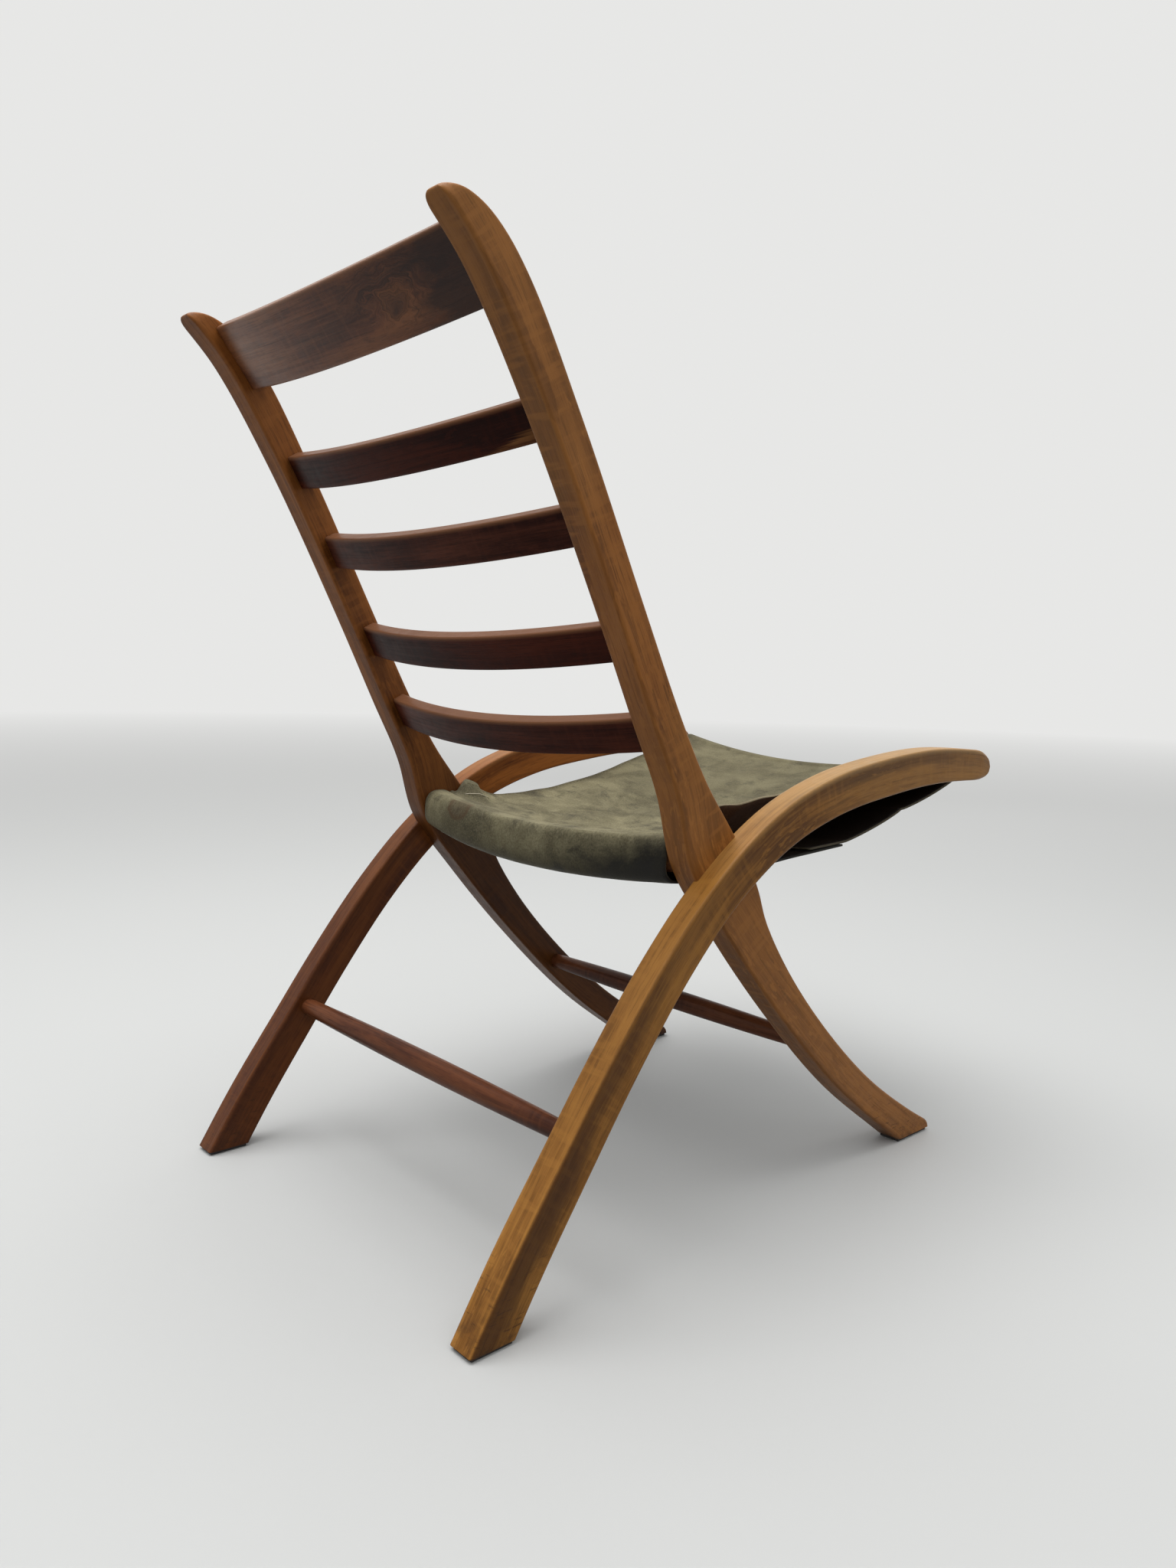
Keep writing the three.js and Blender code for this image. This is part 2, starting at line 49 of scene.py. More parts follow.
# The camera stands behind the chair on its right, a little above the seat
cameraSetup = {
    "position": (-0.9429, 0.8754, 0.5576), "yaw": 227.99, "pitch": -6.18, "roll": 1.37, "lens": 26.09,
}


def addCamera(setup):
    yaw = math.radians(setup["yaw"])
    pitch = math.radians(setup["pitch"])
    back = Vector((math.sin(yaw) * math.cos(pitch), -math.cos(yaw) * math.cos(pitch), -math.sin(pitch)))
    camera = bpy.data.objects.new("camera", bpy.data.cameras.new("camera"))
    scene.collection.objects.link(camera)
    turn = back.to_track_quat("Z", "Y") @ Matrix.Rotation(math.radians(setup["roll"]), 4, "Z").to_quaternion()
    camera.rotation_mode = "QUATERNION"
    camera.rotation_quaternion = turn
    camera.location = setup["position"]
    camera.data.lens = setup["lens"]
    camera.data.sensor_width = 36
    camera.data.clip_start = 0.02
    scene.camera = camera


addCamera(cameraSetup)
print("camera placed")


# Small helpers for working on one piece at a time
def deselectAll():
    for item in bpy.context.selected_objects:
        item.select_set(False)


def makeActive(piece):
    deselectAll()
    piece.select_set(True)
    bpy.context.view_layer.objects.active = piece


def editAll(piece):
    # opens a piece for editing, with all of it selected
    makeActive(piece)
    bpy.ops.object.mode_set(mode="EDIT")
    bpy.ops.mesh.select_mode(type="VERT")
    bpy.ops.mesh.select_all(action="SELECT")


def endEdit():
    bpy.ops.object.mode_set(mode="OBJECT")


def applyModifiers(piece):
    makeActive(piece)
    for modifier in list(piece.modifiers):
        bpy.ops.object.modifier_apply(modifier=modifier.name)


def copyOfNode(nodeName, pieceName):
    # a copy of a CAD solid, with its loose triangles joined into clean faces
    piece = bpy.data.objects.new(pieceName, nodes[nodeName].data.copy())
    scene.collection.objects.link(piece)
    editAll(piece)
    bpy.ops.mesh.remove_doubles(threshold=cadWeld)
    bpy.ops.mesh.dissolve_limited(angle_limit=math.radians(0.4))
    endEdit()
    if piece.data.has_custom_normals:
        bpy.ops.mesh.customdata_custom_splitnormals_clear()
    return piece


def shadeRounded(piece, angle=52):
    makeActive(piece)
    bpy.ops.object.shade_smooth_by_angle(angle=math.radians(angle))
    weighted = piece.modifiers.new("weighted", "WEIGHTED_NORMAL")
    weighted.keep_sharp = True
    weighted.weight = 100
    applyModifiers(piece)


def finishPiece(piece, material, replaced=()):
    piece.data.materials.clear()
    piece.data.materials.append(material)
    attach(piece, "root")
    if replaced:
        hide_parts(*replaced)
    return piece


# Node trees are written with one short call for each node, most of which find their tree from a socket
def treeOf(*values):
    return next(value for value in values if isinstance(value, bpy.types.NodeSocket)).id_data


def addNode(tree, kind, settings=None, **inputs):
    made = tree.nodes.new(kind)
    for name, value in (settings or {}).items():
        setattr(made, name, value)
    for name, value in inputs.items():
        socket = made.inputs[int(name[1:])] if name[0] == "i" and name[1:].isdigit() else made.inputs[name]
        if isinstance(value, bpy.types.NodeSocket):
            tree.links.new(value, socket)
        else:
            socket.default_value = value
    return made


def doMath(operation, *values, kind="ShaderNodeMath", output=0):
    return addNode(treeOf(*values), kind, {"operation": operation},
                   **{f"i{i}": value for i, value in enumerate(values)}).outputs[output]


def doVector(operation, *values, output=0):
    return doMath(operation, *values, kind="ShaderNodeVectorMath", output=output)


def times(value, *others):
    for other in others:
        value = doMath("MULTIPLY", value, other)
    return value


def plus(value, *others):
    for other in others:
        value = doMath("ADD", value, other)
    return value


def minus(value, other):
    return doMath("SUBTRACT", value, other)


def scaled(vector, factors):
    return doVector("MULTIPLY", vector, factors)


def axesOf(vector):
    return addNode(treeOf(vector), "ShaderNodeSeparateXYZ", None, Vector=vector).outputs[:3]


def spread(value, low, high, toLow=0.0, toHigh=1.0):
    return addNode(treeOf(value), "ShaderNodeMapRange", {"clamp": True}, **{
        "Value": value, "From Min": low, "From Max": high, "To Min": toLow, "To Max": toHigh}).outputs[0]


def noiseOf(vector, scale, detail=3.0, roughness=0.55, distortion=0.0, output=0):
    # the scale is one number, or three for a noise that is drawn out
    if isinstance(scale, tuple):
        vector, scale = scaled(vector, scale), 1.0
    return addNode(treeOf(vector), "ShaderNodeTexNoise", None, Vector=vector, Scale=scale, Detail=detail,
                   Roughness=roughness, Distortion=distortion).outputs[output]


def lay(tone, colour, *masks):
    # lays a colour over a tone, where every mask lets it
    mask = times(*masks)
    return addNode(treeOf(mask), "ShaderNodeMix", {"data_type": "RGBA"},
                   i0=mask, i6=tone, i7=colour).outputs[2]


def tint(tone, colour, value, low, high, amount=1.0):
    # lays a colour over a tone, more and more as a value goes from low to high
    return lay(tone, colour, spread(value, low, high, 0.0, amount))


def placeOf(tree):
    return addNode(tree, "ShaderNodeTexCoord").outputs["Object"]


def attributeOf(tree, name, output="Fac"):
    return addNode(tree, "ShaderNodeAttribute", {"attribute_name": name}).outputs[output]


def newGroup(name, inputs, outputs):
    # inputs and outputs are written as "Name kind"
    tree = bpy.data.node_groups.new(name, "ShaderNodeTree")
    kinds = {"colour": "NodeSocketColor", "value": "NodeSocketFloat", "vector": "NodeSocketVector"}
    for direction, sockets in (("INPUT", inputs), ("OUTPUT", outputs)):
        for socket in sockets:
            title, kind = socket.rsplit(" ", 1)
            tree.interface.new_socket(name=title, in_out=direction, socket_type=kinds[kind])
    return tree, tree.nodes.new("NodeGroupInput").outputs


def newMaterial(name):
    material = bpy.data.materials.new(name)
    material.use_nodes = True
    material.node_tree.nodes.clear()
    return material, material.node_tree


def closeMaterial(tree, colour, rough, relief, **others):
    # the relief is a height and the strength and distance of its bump
    height, strength, distance = relief
    bump = addNode(tree, "ShaderNodeBump", None, Strength=strength, Distance=distance, Height=height)
    shader = addNode(tree, "ShaderNodeBsdfPrincipled", None, **{
        "Base Color": colour, "Roughness": rough, "Normal": bump.outputs[0], **others})
    addNode(tree, "ShaderNodeOutputMaterial", None, Surface=shader.outputs[0])


def srgb(red, green, blue):
    # a colour as it is read off a screen, 0 to 255, as Blender's linear values
    values = [channel / 255 for channel in (red, green, blue)]
    return tuple(v / 12.92 if v < 0.04045 else ((v + 0.055) / 1.055) ** 2.4 for v in values) + (1.0,)


def makeWoodFigure():
    # the grain place is (across, along, through) in metres; a knot bends the lines round itself
    tree, given = newGroup("woodFigure", (
        "Grain vector", "Light colour", "Middle colour", "Dark colour", "Heart value", "Fleck value",
        "Pins value", "Arris value", "Knot vector", "Knot Pull value", "Sap Start value", "Sap Slope value",
        "Sap colour", "Start vector"), ("Color colour", "Rough value", "Height value"))
    own, light, dark, fleck = (given[name] for name in ("Grain", "Light", "Dark", "Fleck"))
    stir = noiseOf(own, (40, 22, 40), 3.0, 0.5, output="Color")
    offset = scaled(doVector("SUBTRACT", own, given["Knot"]), (62, 34, 0))
    offset = doVector("MULTIPLY_ADD", stir, (3.0, 3.0, 0.0), offset)
    offset = doVector("SUBTRACT", offset, (1.5, 1.5, 0))
    distance = doVector("LENGTH", offset, output="Value")
    pull = times(spread(distance, 0.4, 2.2, 0.8, 0.0), given["Knot Pull"])
    circling = addNode(tree, "ShaderNodeCombineXYZ", None, X=times(distance, 0.012)).outputs[0]
    grain = doVector("ADD", lay(own, circling, pull), given["Start"])
    wander = noiseOf(grain, (9, 2.2, 9), 2.0, 0.5, output="Color")
    shift = doVector("MULTIPLY_ADD", wander, (0.016, 0.0, 0.016), grain)
    broad = noiseOf(shift, (26, 4.5, 26), 4.0)
    rings = noiseOf(shift, (130, 3.2, 80), 5.0, 0.66)
    lines = noiseOf(shift, (390, 7, 300), 4.0, 0.66)
    pores = noiseOf(grain, (1500, 55, 1500), 2.0)
    curl = noiseOf(shift, (70, 95, 70), 3.0, 0.6, 0.6)
    flame = noiseOf(shift, (190, 52, 190), 3.0, 0.6)
    ripple = noiseOf(shift, (22, 150, 22), 2.0, 0.5)
    patch = noiseOf(grain, (16, 7, 16), 2.0)
    tone = tint(light, given["Middle"], broad, 0.38, 0.58)
    tone = tint(tone, light, lines, 0.45, 0.39, 0.34)
    tone = tint(tone, dark, broad, 0.54, 0.66, given["Heart"])
    tone = lay(tone, dark, spread(rings, 0.53, 0.59), spread(patch, 0.36, 0.62, 0.14, 0.40))
    tone = tint(tone, dark, lines, 0.54, 0.60, 0.34)
    tone = tint(tone, dark, pores, 0.55, 0.68, 0.38)
    # pale ripple flecks: figure, with a painted sheen
    tone = lay(tone, light, spread(ripple, 0.50, 0.64), spread(patch, 0.62, 0.46, 0.0, 0.8), fleck)
    across, along, _ = axesOf(own)
    wedge = minus(times(minus(given["Sap Start"], along), given["Sap Slope"]), across)
    wedge = plus(wedge, spread(rings, 0.3, 0.7, -0.006, 0.006))
    tone = lay(tone, given["Sap"], spread(wedge, 0.0, 0.003), spread(lines, 0.62, 0.48, 0.45, 0.9))
    # pale flame flecks: figure, with a painted glint
    tone = lay(tone, light, spread(flame, 0.55, 0.61), spread(patch, 0.46, 0.56), fleck)
    split = times(spread(distance, 0.50, 0.80), spread(distance, 1.25, 0.90),
                  spread(curl, 0.46, 0.58, 0.0, 0.85))
    pith = doMath("MAXIMUM", split, spread(distance, 0.10, 0.90, 0.75, 0.0))
    tone = lay(tone, dark, pith, 0.9, given["Knot Pull"])
    spots = addNode(tree, "ShaderNodeTexVoronoi", None, Vector=scaled(shift, (34, 15, 34)), Scale=1.0).outputs
    pin = times(spread(spots["Distance"], 0.07, 0.035), spread(spots["Color"], 0.62, 0.66), given["Pins"])
    tone = lay(tone, srgb(26, 13, 6), pin)
    # the arrises paler, partly wear and partly a painted highlight
    tone = lay(tone, light, given["Arris"], spread(curl, 0.34, 0.62, 0.11, 0.55))
    rough = plus(spread(curl, 0.3, 0.7, 0.0, 0.10), spread(lines, 0.4, 0.8, 0.0, 0.10))
    height = minus(plus(times(pores, -0.5), times(lines, -0.5)), times(pin, 2.0))
    addNode(tree, "NodeGroupOutput", None, Color=tone, Rough=rough, Height=height)
    return tree


def makeFootGrime():
    # dirt and scuffs that climb a few centimetres up each foot
    tree, given = newGroup("footGrime", ("Color colour", "Amount value"), ("Color colour",))
    place = placeOf(tree)
    height = axesOf(place)[2]
    cloud = noiseOf(place, 70.0, 5.0, 0.7)
    scuff = noiseOf(place, (60, 60, 420), 3.0, 0.6)
    dirt = times(spread(height, 0.040, 0.006), spread(cloud, 0.44, 0.66))
    marks = times(spread(height, 0.11, 0.02), spread(scuff, 0.60, 0.68))
    tone = lay(given["Color"], srgb(40, 24, 16), doMath("MAXIMUM", dirt, marks), given["Amount"])
    addNode(tree, "NodeGroupOutput", None, Color=tone)
    return tree


woodFigure = makeWoodFigure()
footGrime = makeFootGrime()


def makeWood(name, look):
    material, tree = newMaterial(name)
    grain = attributeOf(tree, "grain", "Vector")
    shared = {key.capitalize(): look[key] for key in "start light middle dark heart fleck pins".split()}
    figure = addNode(tree, "ShaderNodeGroup", {"node_tree": woodFigure}, **{
        **shared, "Grain": grain, "Arris": attributeOf(tree, "arris"),
        "Knot": look.get("knot", (0, 0, 0)), "Knot Pull": 1.0 if "knot" in look else 0.0,
        "Sap Start": look.get("sapStart", 0.0), "Sap Slope": look.get("sapSlope", 0.0),
        "Sap": look.get("sap", look["light"])}).outputs
    colour = figure["Color"]
    across, along, through = axesOf(grain)
    cloud = noiseOf(grain, (40, 9, 40), 4.0, 0.6)
    for start, end, amount, tone, width in look.get("paintedLightAndBleach", ()):
        # a length changed in tone, this far across from the upper arris: painted light and shade, partly
        # bleaching
        ragged = plus(along, spread(cloud, 0.2, 0.8, -0.06, 0.06))
        paintedLightShare = spread(ragged, start, end, max(0.0, amount), max(0.0, -amount))
        colour = lay(colour, tone, paintedLightShare, spread(across, width, width * 0.5))
    if "band" in look:
        # darker along the broad face at -X, beside the upper arris, in a band that widens towards the foot
        (width, amount, low), face = look["band"], (-0.0125, -0.0145)
        ragged = plus(across, spread(cloud, 0.3, 0.7, -0.010, 0.010))
        ragged = doMath("DIVIDE", ragged, spread(along, 0.50, 0.92, 0.6, 1.5))
        colour = lay(colour, look["dark"], spread(ragged, width * 1.2, width * 0.6), spread(through, *face),
                     spread(along, 0.55, 0.80, amount, low))
    if "top" in look:
        # the upper edge, paler: a painted highlight from the light above
        width, amount, tone = look["top"]
        litEdge = spread(across, width - 0.0045, width - 0.0012, 0.0, amount)
        colour = lay(colour, tone, litEdge, spread(cloud, 0.30, 0.55, 0.7, 1.0))
    if "grime" in look:
        colour = addNode(tree, "ShaderNodeGroup", {"node_tree": footGrime}, Color=colour,
                         Amount=look["grime"]).outputs[0]
    rough = plus(figure["Rough"], look["rough"])
    closeMaterial(tree, colour, rough, (figure["Height"], look["bump"], 0.0004), **{
        "IOR": 1.46, "Specular IOR Level": look["gloss"], "Coat Weight": look["coat"],
        "Coat Roughness": 0.26})
    return material


# A tint is (from, to, amount, colour, width across): it fades out between the first two, and where the
# amount is negative it fades in. A band is (width, amount at the top, amount at the foot).
# The tints are painted light and shade along the boards: pale top edges and lit lengths, some of it
# bleaching, and far legs darkened as in shade.
goldenWood = {
    "light": srgb(172, 119, 54), "middle": srgb(128, 83, 32), "dark": srgb(62, 34, 10),
    "heart": 0.35, "fleck": 0.36, "pins": 1.0, "bump": 0.5, "rough": 0.36, "coat": 0.03, "gloss": 0.17,
    "grime": 0.6,
}
boardLooks = {
    "right_arch": dict(goldenWood, fleck=0.5, start=(0.31, 1.7, 0.2), band=(0.022, 0.34, 0.80), paintedLightAndBleach=(
        (0.34, 0.50, 0.45, srgb(206, 170, 116), 0.006), (0.26, 0.36, 0.16, srgb(190, 152, 100), 1.0),
        (0.70, 0.90, 0.20, srgb(60, 33, 8), 1.0))),
    "left_arch": dict(
        goldenWood, light=srgb(148, 88, 38), middle=srgb(106, 58, 23), dark=srgb(48, 22, 8),
        start=(1.37, 4.1, 0.9), band=(0.016, 0.3, 0.3), paintedLightAndBleach=(
            (0.30, 0.46, 0.35, srgb(190, 146, 96), 0.006), (0.42, 0.60, -0.62, srgb(62, 26, 12), 1.0))),
    "right_upright": dict(
        goldenWood, light=srgb(156, 100, 48), middle=srgb(114, 67, 28), dark=srgb(54, 26, 9),
        heart=0.4, fleck=0.8, start=(2.21, 0.4, 1.3), band=(0.004, 0.30, 0.30), paintedLightAndBleach=(
            (0.22, 0.30, 0.25, srgb(172, 124, 72), 1.0), (0.42, 0.50, -0.30, srgb(170, 117, 60), 1.0))),
    "left_upright": dict(
        goldenWood, light=srgb(154, 96, 46), middle=srgb(120, 70, 29), dark=srgb(54, 27, 10),
        heart=0.3, start=(3.87, 6.2, 2.4), paintedLightAndBleach=((0.42, 0.60, -0.60, srgb(44, 19, 7), 1.0),)),
}


def smoothStep(value, low, high):
    share = min(1.0, max(0.0, (value - low) / (high - low)))
    return share * share * (3 - 2 * share)


# Every board is swept along the middle of its own CAD outline, so that faces and grain follow it. A walk
# starts at a place (y, z) and goes both ways; its window says over how many steps corners are softened.
boardShape = {
    "thickness": 0.030, "cadEase": 0.0032, "ease": 0.0028, "cornerSteps": 4, "wearAndHighlightWidth": 0.0030,
    "step": 0.007, "leastStep": 0.0004, "stepShare": 0.2, "outlineStep": 0.0014, "endEase": 0.0105,
    "endLength": 0.035, "arcFade": 0.33, "runOn": 0.08, "lowest": -0.035,
}
boardWalks = {
    "arch": {"start": (-0.05, 0.418), "headings": ((-1.0, 0.12), (1.0, -0.12)),
             "window": 19, "endArc": 0.048},
    "upright": {"start": (0.172, 0.56), "headings": ((0.45, 0.9), (-0.45, -0.9)),
                "window": 9, "endArc": 0.0},
}


def outlineOf(nodeName, ringX):
    # the side outline as a chain of places (y, z) from one corner of the sole round to the other, read
    # where the CAD solid is at its fullest; both ends then run on below the floor
    copy = bmesh.new()
    copy.from_mesh(nodes[nodeName].data)
    bmesh.ops.remove_doubles(copy, verts=copy.verts, dist=cadWeld)
    sole = min(vertex.co.z for vertex in copy.verts) + 2 * tolerance
    ring = {}
    for edge in copy.edges:
        a, b = edge.verts
        onRing = all(abs(abs(vertex.co.x) - ringX) < tolerance for vertex in (a, b))
        if onRing and max(a.co.z, b.co.z) > sole:
            ring.setdefault(a, []).append(b)
            ring.setdefault(b, []).append(a)
    here = next(vertex for vertex in ring if vertex.co.z < sole)
    chain, came = [here], None
    while came is None or here.co.z > sole:
        came, here = here, next(vertex for vertex in ring[here] if vertex is not came)
        chain.append(here)
    places = [Vector((vertex.co.y, vertex.co.z)) for vertex in chain]
    copy.free()
    first, last = (end + (end - inner).normalized() * boardShape["runOn"]
                   for end, inner in ((places[0], places[1]), (places[-1], places[-2])))
    return [first, *places, last]


def smoothChain(chain, parts=4, straightest=0.9):
    # rounds the chords of the outline by a curve through its points, leaving real corners alone: where
    # the cosine of the turn is less than the last number
    result = []
    for before, a, b, after in zip([chain[0], *chain], chain, chain[1:], [*chain[2:], chain[-1]]):
        length, own = (b - a).length, (b - a).normalized()
        slopes = []
        for beside in (a - before, after - b):
            far = beside.normalized() if beside.length > 1e-6 else own
            slopes.append((own + far).normalized() if own.dot(far) > straightest else own)
        for k in range(parts):
            t = k / parts
            hermite = (2 * t ** 3 - 3 * t ** 2 + 1, t ** 3 - 2 * t ** 2 + t,
                       -2 * t ** 3 + 3 * t ** 2, t ** 3 - t ** 2)
            result.append(a * hermite[0] + slopes[0] * length * hermite[1]
                          + b * hermite[2] + slopes[1] * length * hermite[3])
    return [*result, chain[-1]]


def softenChain(chain, step, window):
    # spaces the outline evenly and takes the edge off its corners, as a spokeshave does
    even, left = [chain[0]], step
    for a, b in zip(chain, chain[1:]):
        length, done = (b - a).length, 0.0
        while length - done >= left:
            done += left
            even.append(a.lerp(b, done / length))
            left = step
        left -= length - done
    result = []
    for spot in range(len(even)):
        room = min(window, spot, len(even) - 1 - spot)
        total, weight = Vector((0, 0)), 0.0
        for offset in range(-room, room + 1):
            share = 1 - abs(offset) / (room + 1)
            total += even[spot + offset] * share
            weight += share
        result.append(total / weight)
    return result


def reachOf(outline, place, direction):
    # how far the outline is from a place, in one direction
    best = None
    for a, b in zip(outline, outline[1:]):
        side = b - a
        cross = direction.x * side.y - direction.y * side.x
        if abs(cross) < 1e-12:
            continue
        gap = a - place
        far = (gap.x * side.y - gap.y * side.x) / cross
        share = (gap.x * direction.y - gap.y * direction.x) / cross
        if far > 0 and -1e-6 <= share <= 1 + 1e-6 and (best is None or far < best):
            best = far
    return best


def gapTo(chain, place):
    # the shortest way from a place to a chain of places
    best = 1.0
    for a, b in zip(chain, chain[1:]):
        side = b - a
        share = min(1.0, max(0.0, (place - a).dot(side) / side.dot(side)))
        best = min(best, (place - a - side * share).length)
    return best


def walkBoard(outline, place, heading):
    # steps along the middle of the board until its end or until it is well below the floor; the steps
    # get smaller as the end comes near, and from "endLength" on the heading stays as it is
    stations, least = [], boardShape["leastStep"]
    while place.y > boardShape["lowest"]:
        side = Vector((-heading.y, heading.x))
        left, right = reachOf(outline, place, side), reachOf(outline, place, -side)
        if left is None or right is None:
            break
        first, second = place + side * left, place - side * right
        middle = (first + second) / 2
        ahead = reachOf(outline, middle, heading) or 1.0
        stations.append((first, second, ahead))
        if ahead < least:
            break
        place = middle + heading * min(boardShape["step"], max(least, ahead * boardShape["stepShare"]))
        if len(stations) > 1 and ahead > boardShape["endLength"]:
            before = (stations[-2][0] + stations[-2][1]) / 2
            heading = (heading * 2 + (middle - before).normalized()).normalized()
    return stations


def sectionOf(width, half, shape):
    # one rounded rectangle as (across, through, mark): across runs 0 to width, through half to -half; the
    # mark pales the arris, partly wear and partly a painted highlight
    ease = min(shape["ease"], width * 0.45, half * 0.9)
    wearAndHighlight = min(shape["wearAndHighlightWidth"], (width - 2 * ease) / 3, half - ease)
    broad = [(ease, 1.0), (ease + wearAndHighlight / 2, 0.4), (ease + wearAndHighlight, 0.0), (width / 2, 0.0),
             (width - ease - wearAndHighlight, 0.0), (width - ease - wearAndHighlight / 2, 0.4), (width - ease, 1.0)]
    narrow = [(half - ease, 1.0), (half - ease - wearAndHighlight / 2, 0.4), (0.0, 0.0),
              (ease + wearAndHighlight / 2 - half, 0.4), (ease - half, 1.0)]
    sides = ([(place, half, mark) for place, mark in broad],
             [(width, place, mark) for place, mark in narrow],
             [(place, -half, mark) for place, mark in reversed(broad)],
             [(0.0, place, mark) for place, mark in reversed(narrow)])
    centres = ((width - ease, half - ease), (width - ease, ease - half),
               (ease, ease - half), (ease, half - ease))
    section = []
    for quarter, (side, centre) in enumerate(zip(sides, centres)):
        section.extend(side)
        for k in range(1, shape["cornerSteps"]):
            angle = math.pi / 2 * (1 - quarter - k / shape["cornerSteps"])
            section.append((centre[0] + ease * math.cos(angle), centre[1] + ease * math.sin(angle), 1.0))
    return section


def newGrid(name, across, along, places):
    # a grid of so many faces each way, its corners moved to the places row by row
    deselectAll()
    bpy.ops.mesh.primitive_grid_add(x_subdivisions=across, y_subdivisions=along, size=1)
    piece = bpy.context.object
    piece.name = name
    piece.data.vertices.foreach_set("co", [number for place in places for number in place])
    return piece


def addLayer(piece, name, values, kind="FLOAT"):
    layer = piece.data.attributes.new(name, kind, "POINT")
    layer.data.foreach_set("value" if kind == "FLOAT" else "vector", values)


def wrapRings(name, rings):
    # a grid rolled up into a tube, ring by ring, and closed; each ring is a list of (place, arris mark,
    # grain)
    across = len(rings[0])
    places, marks, grain = zip(*(ring[column % across] for ring in rings for column in range(across + 1)))
    piece = newGrid(name, across, len(rings) - 1, places)
    addLayer(piece, "arris", marks)
    addLayer(piece, "grain", [number for place in grain for number in place], "FLOAT_VECTOR")
    editAll(piece)
    bpy.ops.mesh.remove_doubles(threshold=seamWeld)
    bpy.ops.mesh.select_all(action="DESELECT")
    bpy.ops.mesh.select_non_manifold(extend=False, use_wire=False, use_boundary=True,
                                     use_multi_face=False, use_non_contiguous=False, use_verts=False)
    bpy.ops.mesh.fill_holes(sides=0)
    bpy.ops.mesh.select_all(action="SELECT")
    bpy.ops.mesh.normals_make_consistent(inside=False)
    endEdit()
    return piece


def finishWood(piece, look, nodeName):
    shadeRounded(piece)
    finishPiece(piece, makeWood(piece.name + "Wood", look), [nodeName])


def makeBoard(nodeName, pieceName, start, headings, window, endArc):
    # an end that is an arc in the outline is eased by the distance to that arc, less and less beyond it
    low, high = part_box(nodeName)
    outline = outlineOf(nodeName, max(abs(low.x), abs(high.x)) - boardShape["cadEase"])
    outline = softenChain(smoothChain(outline), boardShape["outlineStep"], window)
    toEnd, toFoot = (walkBoard(outline, Vector(start), Vector(heading).normalized()) for heading in headings)
    stations = [(second, first, ahead) for first, second, ahead in reversed(toEnd)] + toFoot[1:]
    middleX, half = (low.x + high.x) / 2, boardShape["thickness"] / 2
    tip = (stations[0][0] + stations[0][1]) / 2
    arc = [place for place in outline if (place - tip).length < endArc]
    rings, along, before = [], 0.0, tip
    for first, second, ahead in stations:
        middle, unit = (first + second) / 2, (second - first).normalized()
        along += (middle - before).length
        before = middle
        ring = []
        for across, through, mark in sectionOf((second - first).length, half, boardShape):
            spot = first + unit * across
            gap, ease = ahead, boardShape["endEase"]
            if arc and ahead < 2 * endArc:
                gap = gapTo(arc, spot)
                ease *= 1 - smoothStep((spot - tip).length, endArc * boardShape["arcFade"], endArc)
            if gap < ease:
                through *= 1 - (ease - math.sqrt(ease ** 2 - (ease - gap) ** 2)) / half
            ring.append((Vector((middleX + through, *spot)), mark, (across, along, through)))
        rings.append(ring)
    piece = wrapRings(pieceName, rings)
    editAll(piece)
    bpy.ops.mesh.bisect(plane_co=(0, 0, low.z), plane_no=(0, 0, 1), use_fill=True, clear_inner=True)
    endEdit()
    finishWood(piece, boardLooks[nodeName], nodeName)


for side in ("right", "left"):
    for kind, walk in boardWalks.items():
        makeBoard(f"{side}_{kind}", f"{side}{kind.capitalize()}Board", **walk)
print("boards made")

# The slats' wood, dark heartwood
heartWood = {
    "light": srgb(76, 32, 19), "middle": srgb(47, 18, 12), "dark": srgb(24, 9, 7),
    "heart": 0.5, "fleck": 0.25, "pins": 0.4, "bump": 0.4, "rough": 0.30, "coat": 0.01, "gloss": 0.05,
}
slatLooks = {
    # the crest's near end is painted darker, where the sheen on the rest falls off
    "crest_slat": dict(heartWood, start=(0.7, 0.9, 0.3), light=srgb(140, 90, 58), middle=srgb(104, 62, 44),
                       knot=(0.034, -0.118, 0.009), sapStart=-0.115, sapSlope=0.16, sap=srgb(112, 62, 30),
                       coat=0.12, gloss=0.2, paintedLightAndBleach=((-0.155, -0.110, 0.82, srgb(30, 13, 10), 1.0),)),
    "back_slat_1": dict(heartWood, start=(1.3, 2.7, 0.9), sapStart=-0.10, sapSlope=0.13,
                        sap=srgb(136, 92, 54)),
    "back_slat_2": dict(heartWood, start=(2.6, 5.4, 1.8), light=srgb(92, 50, 36)),
    "back_slat_3": dict(heartWood, start=(3.9, 8.1, 2.7)),
    "back_slat_4": dict(heartWood, start=(5.2, 10.8, 3.6), light=srgb(86, 43, 30)),
}

# Bowed slats with stub tenons that sit in the uprights; "top" is the amount and colour of their paler edge, a
# painted highlight
slatShape = {
    "bow": 0.027, "ease": 0.0026, "cornerSteps": 4, "wearAndHighlightWidth": 0.004, "shoulder": 0.2062, "between": 0.2065,
    "tenonThickness": 0.008, "tenonShoulder": 0.006, "steps": 44, "top": (0.85, srgb(126, 86, 60)),
    "crest": {"thickness": 0.018, "width": 0.068},
    "plain": {"thickness": 0.0165, "width": 0.036},
}


def withTenons(body, shoulder, end, tenon):
    # a bar as (place along it, size), with a thinner tenon beyond the shoulder at both its ends
    beyond = shoulder + 2 * tolerance
    return [(-end, tenon), (-beyond, tenon), *body, (beyond, tenon), (end, tenon)]


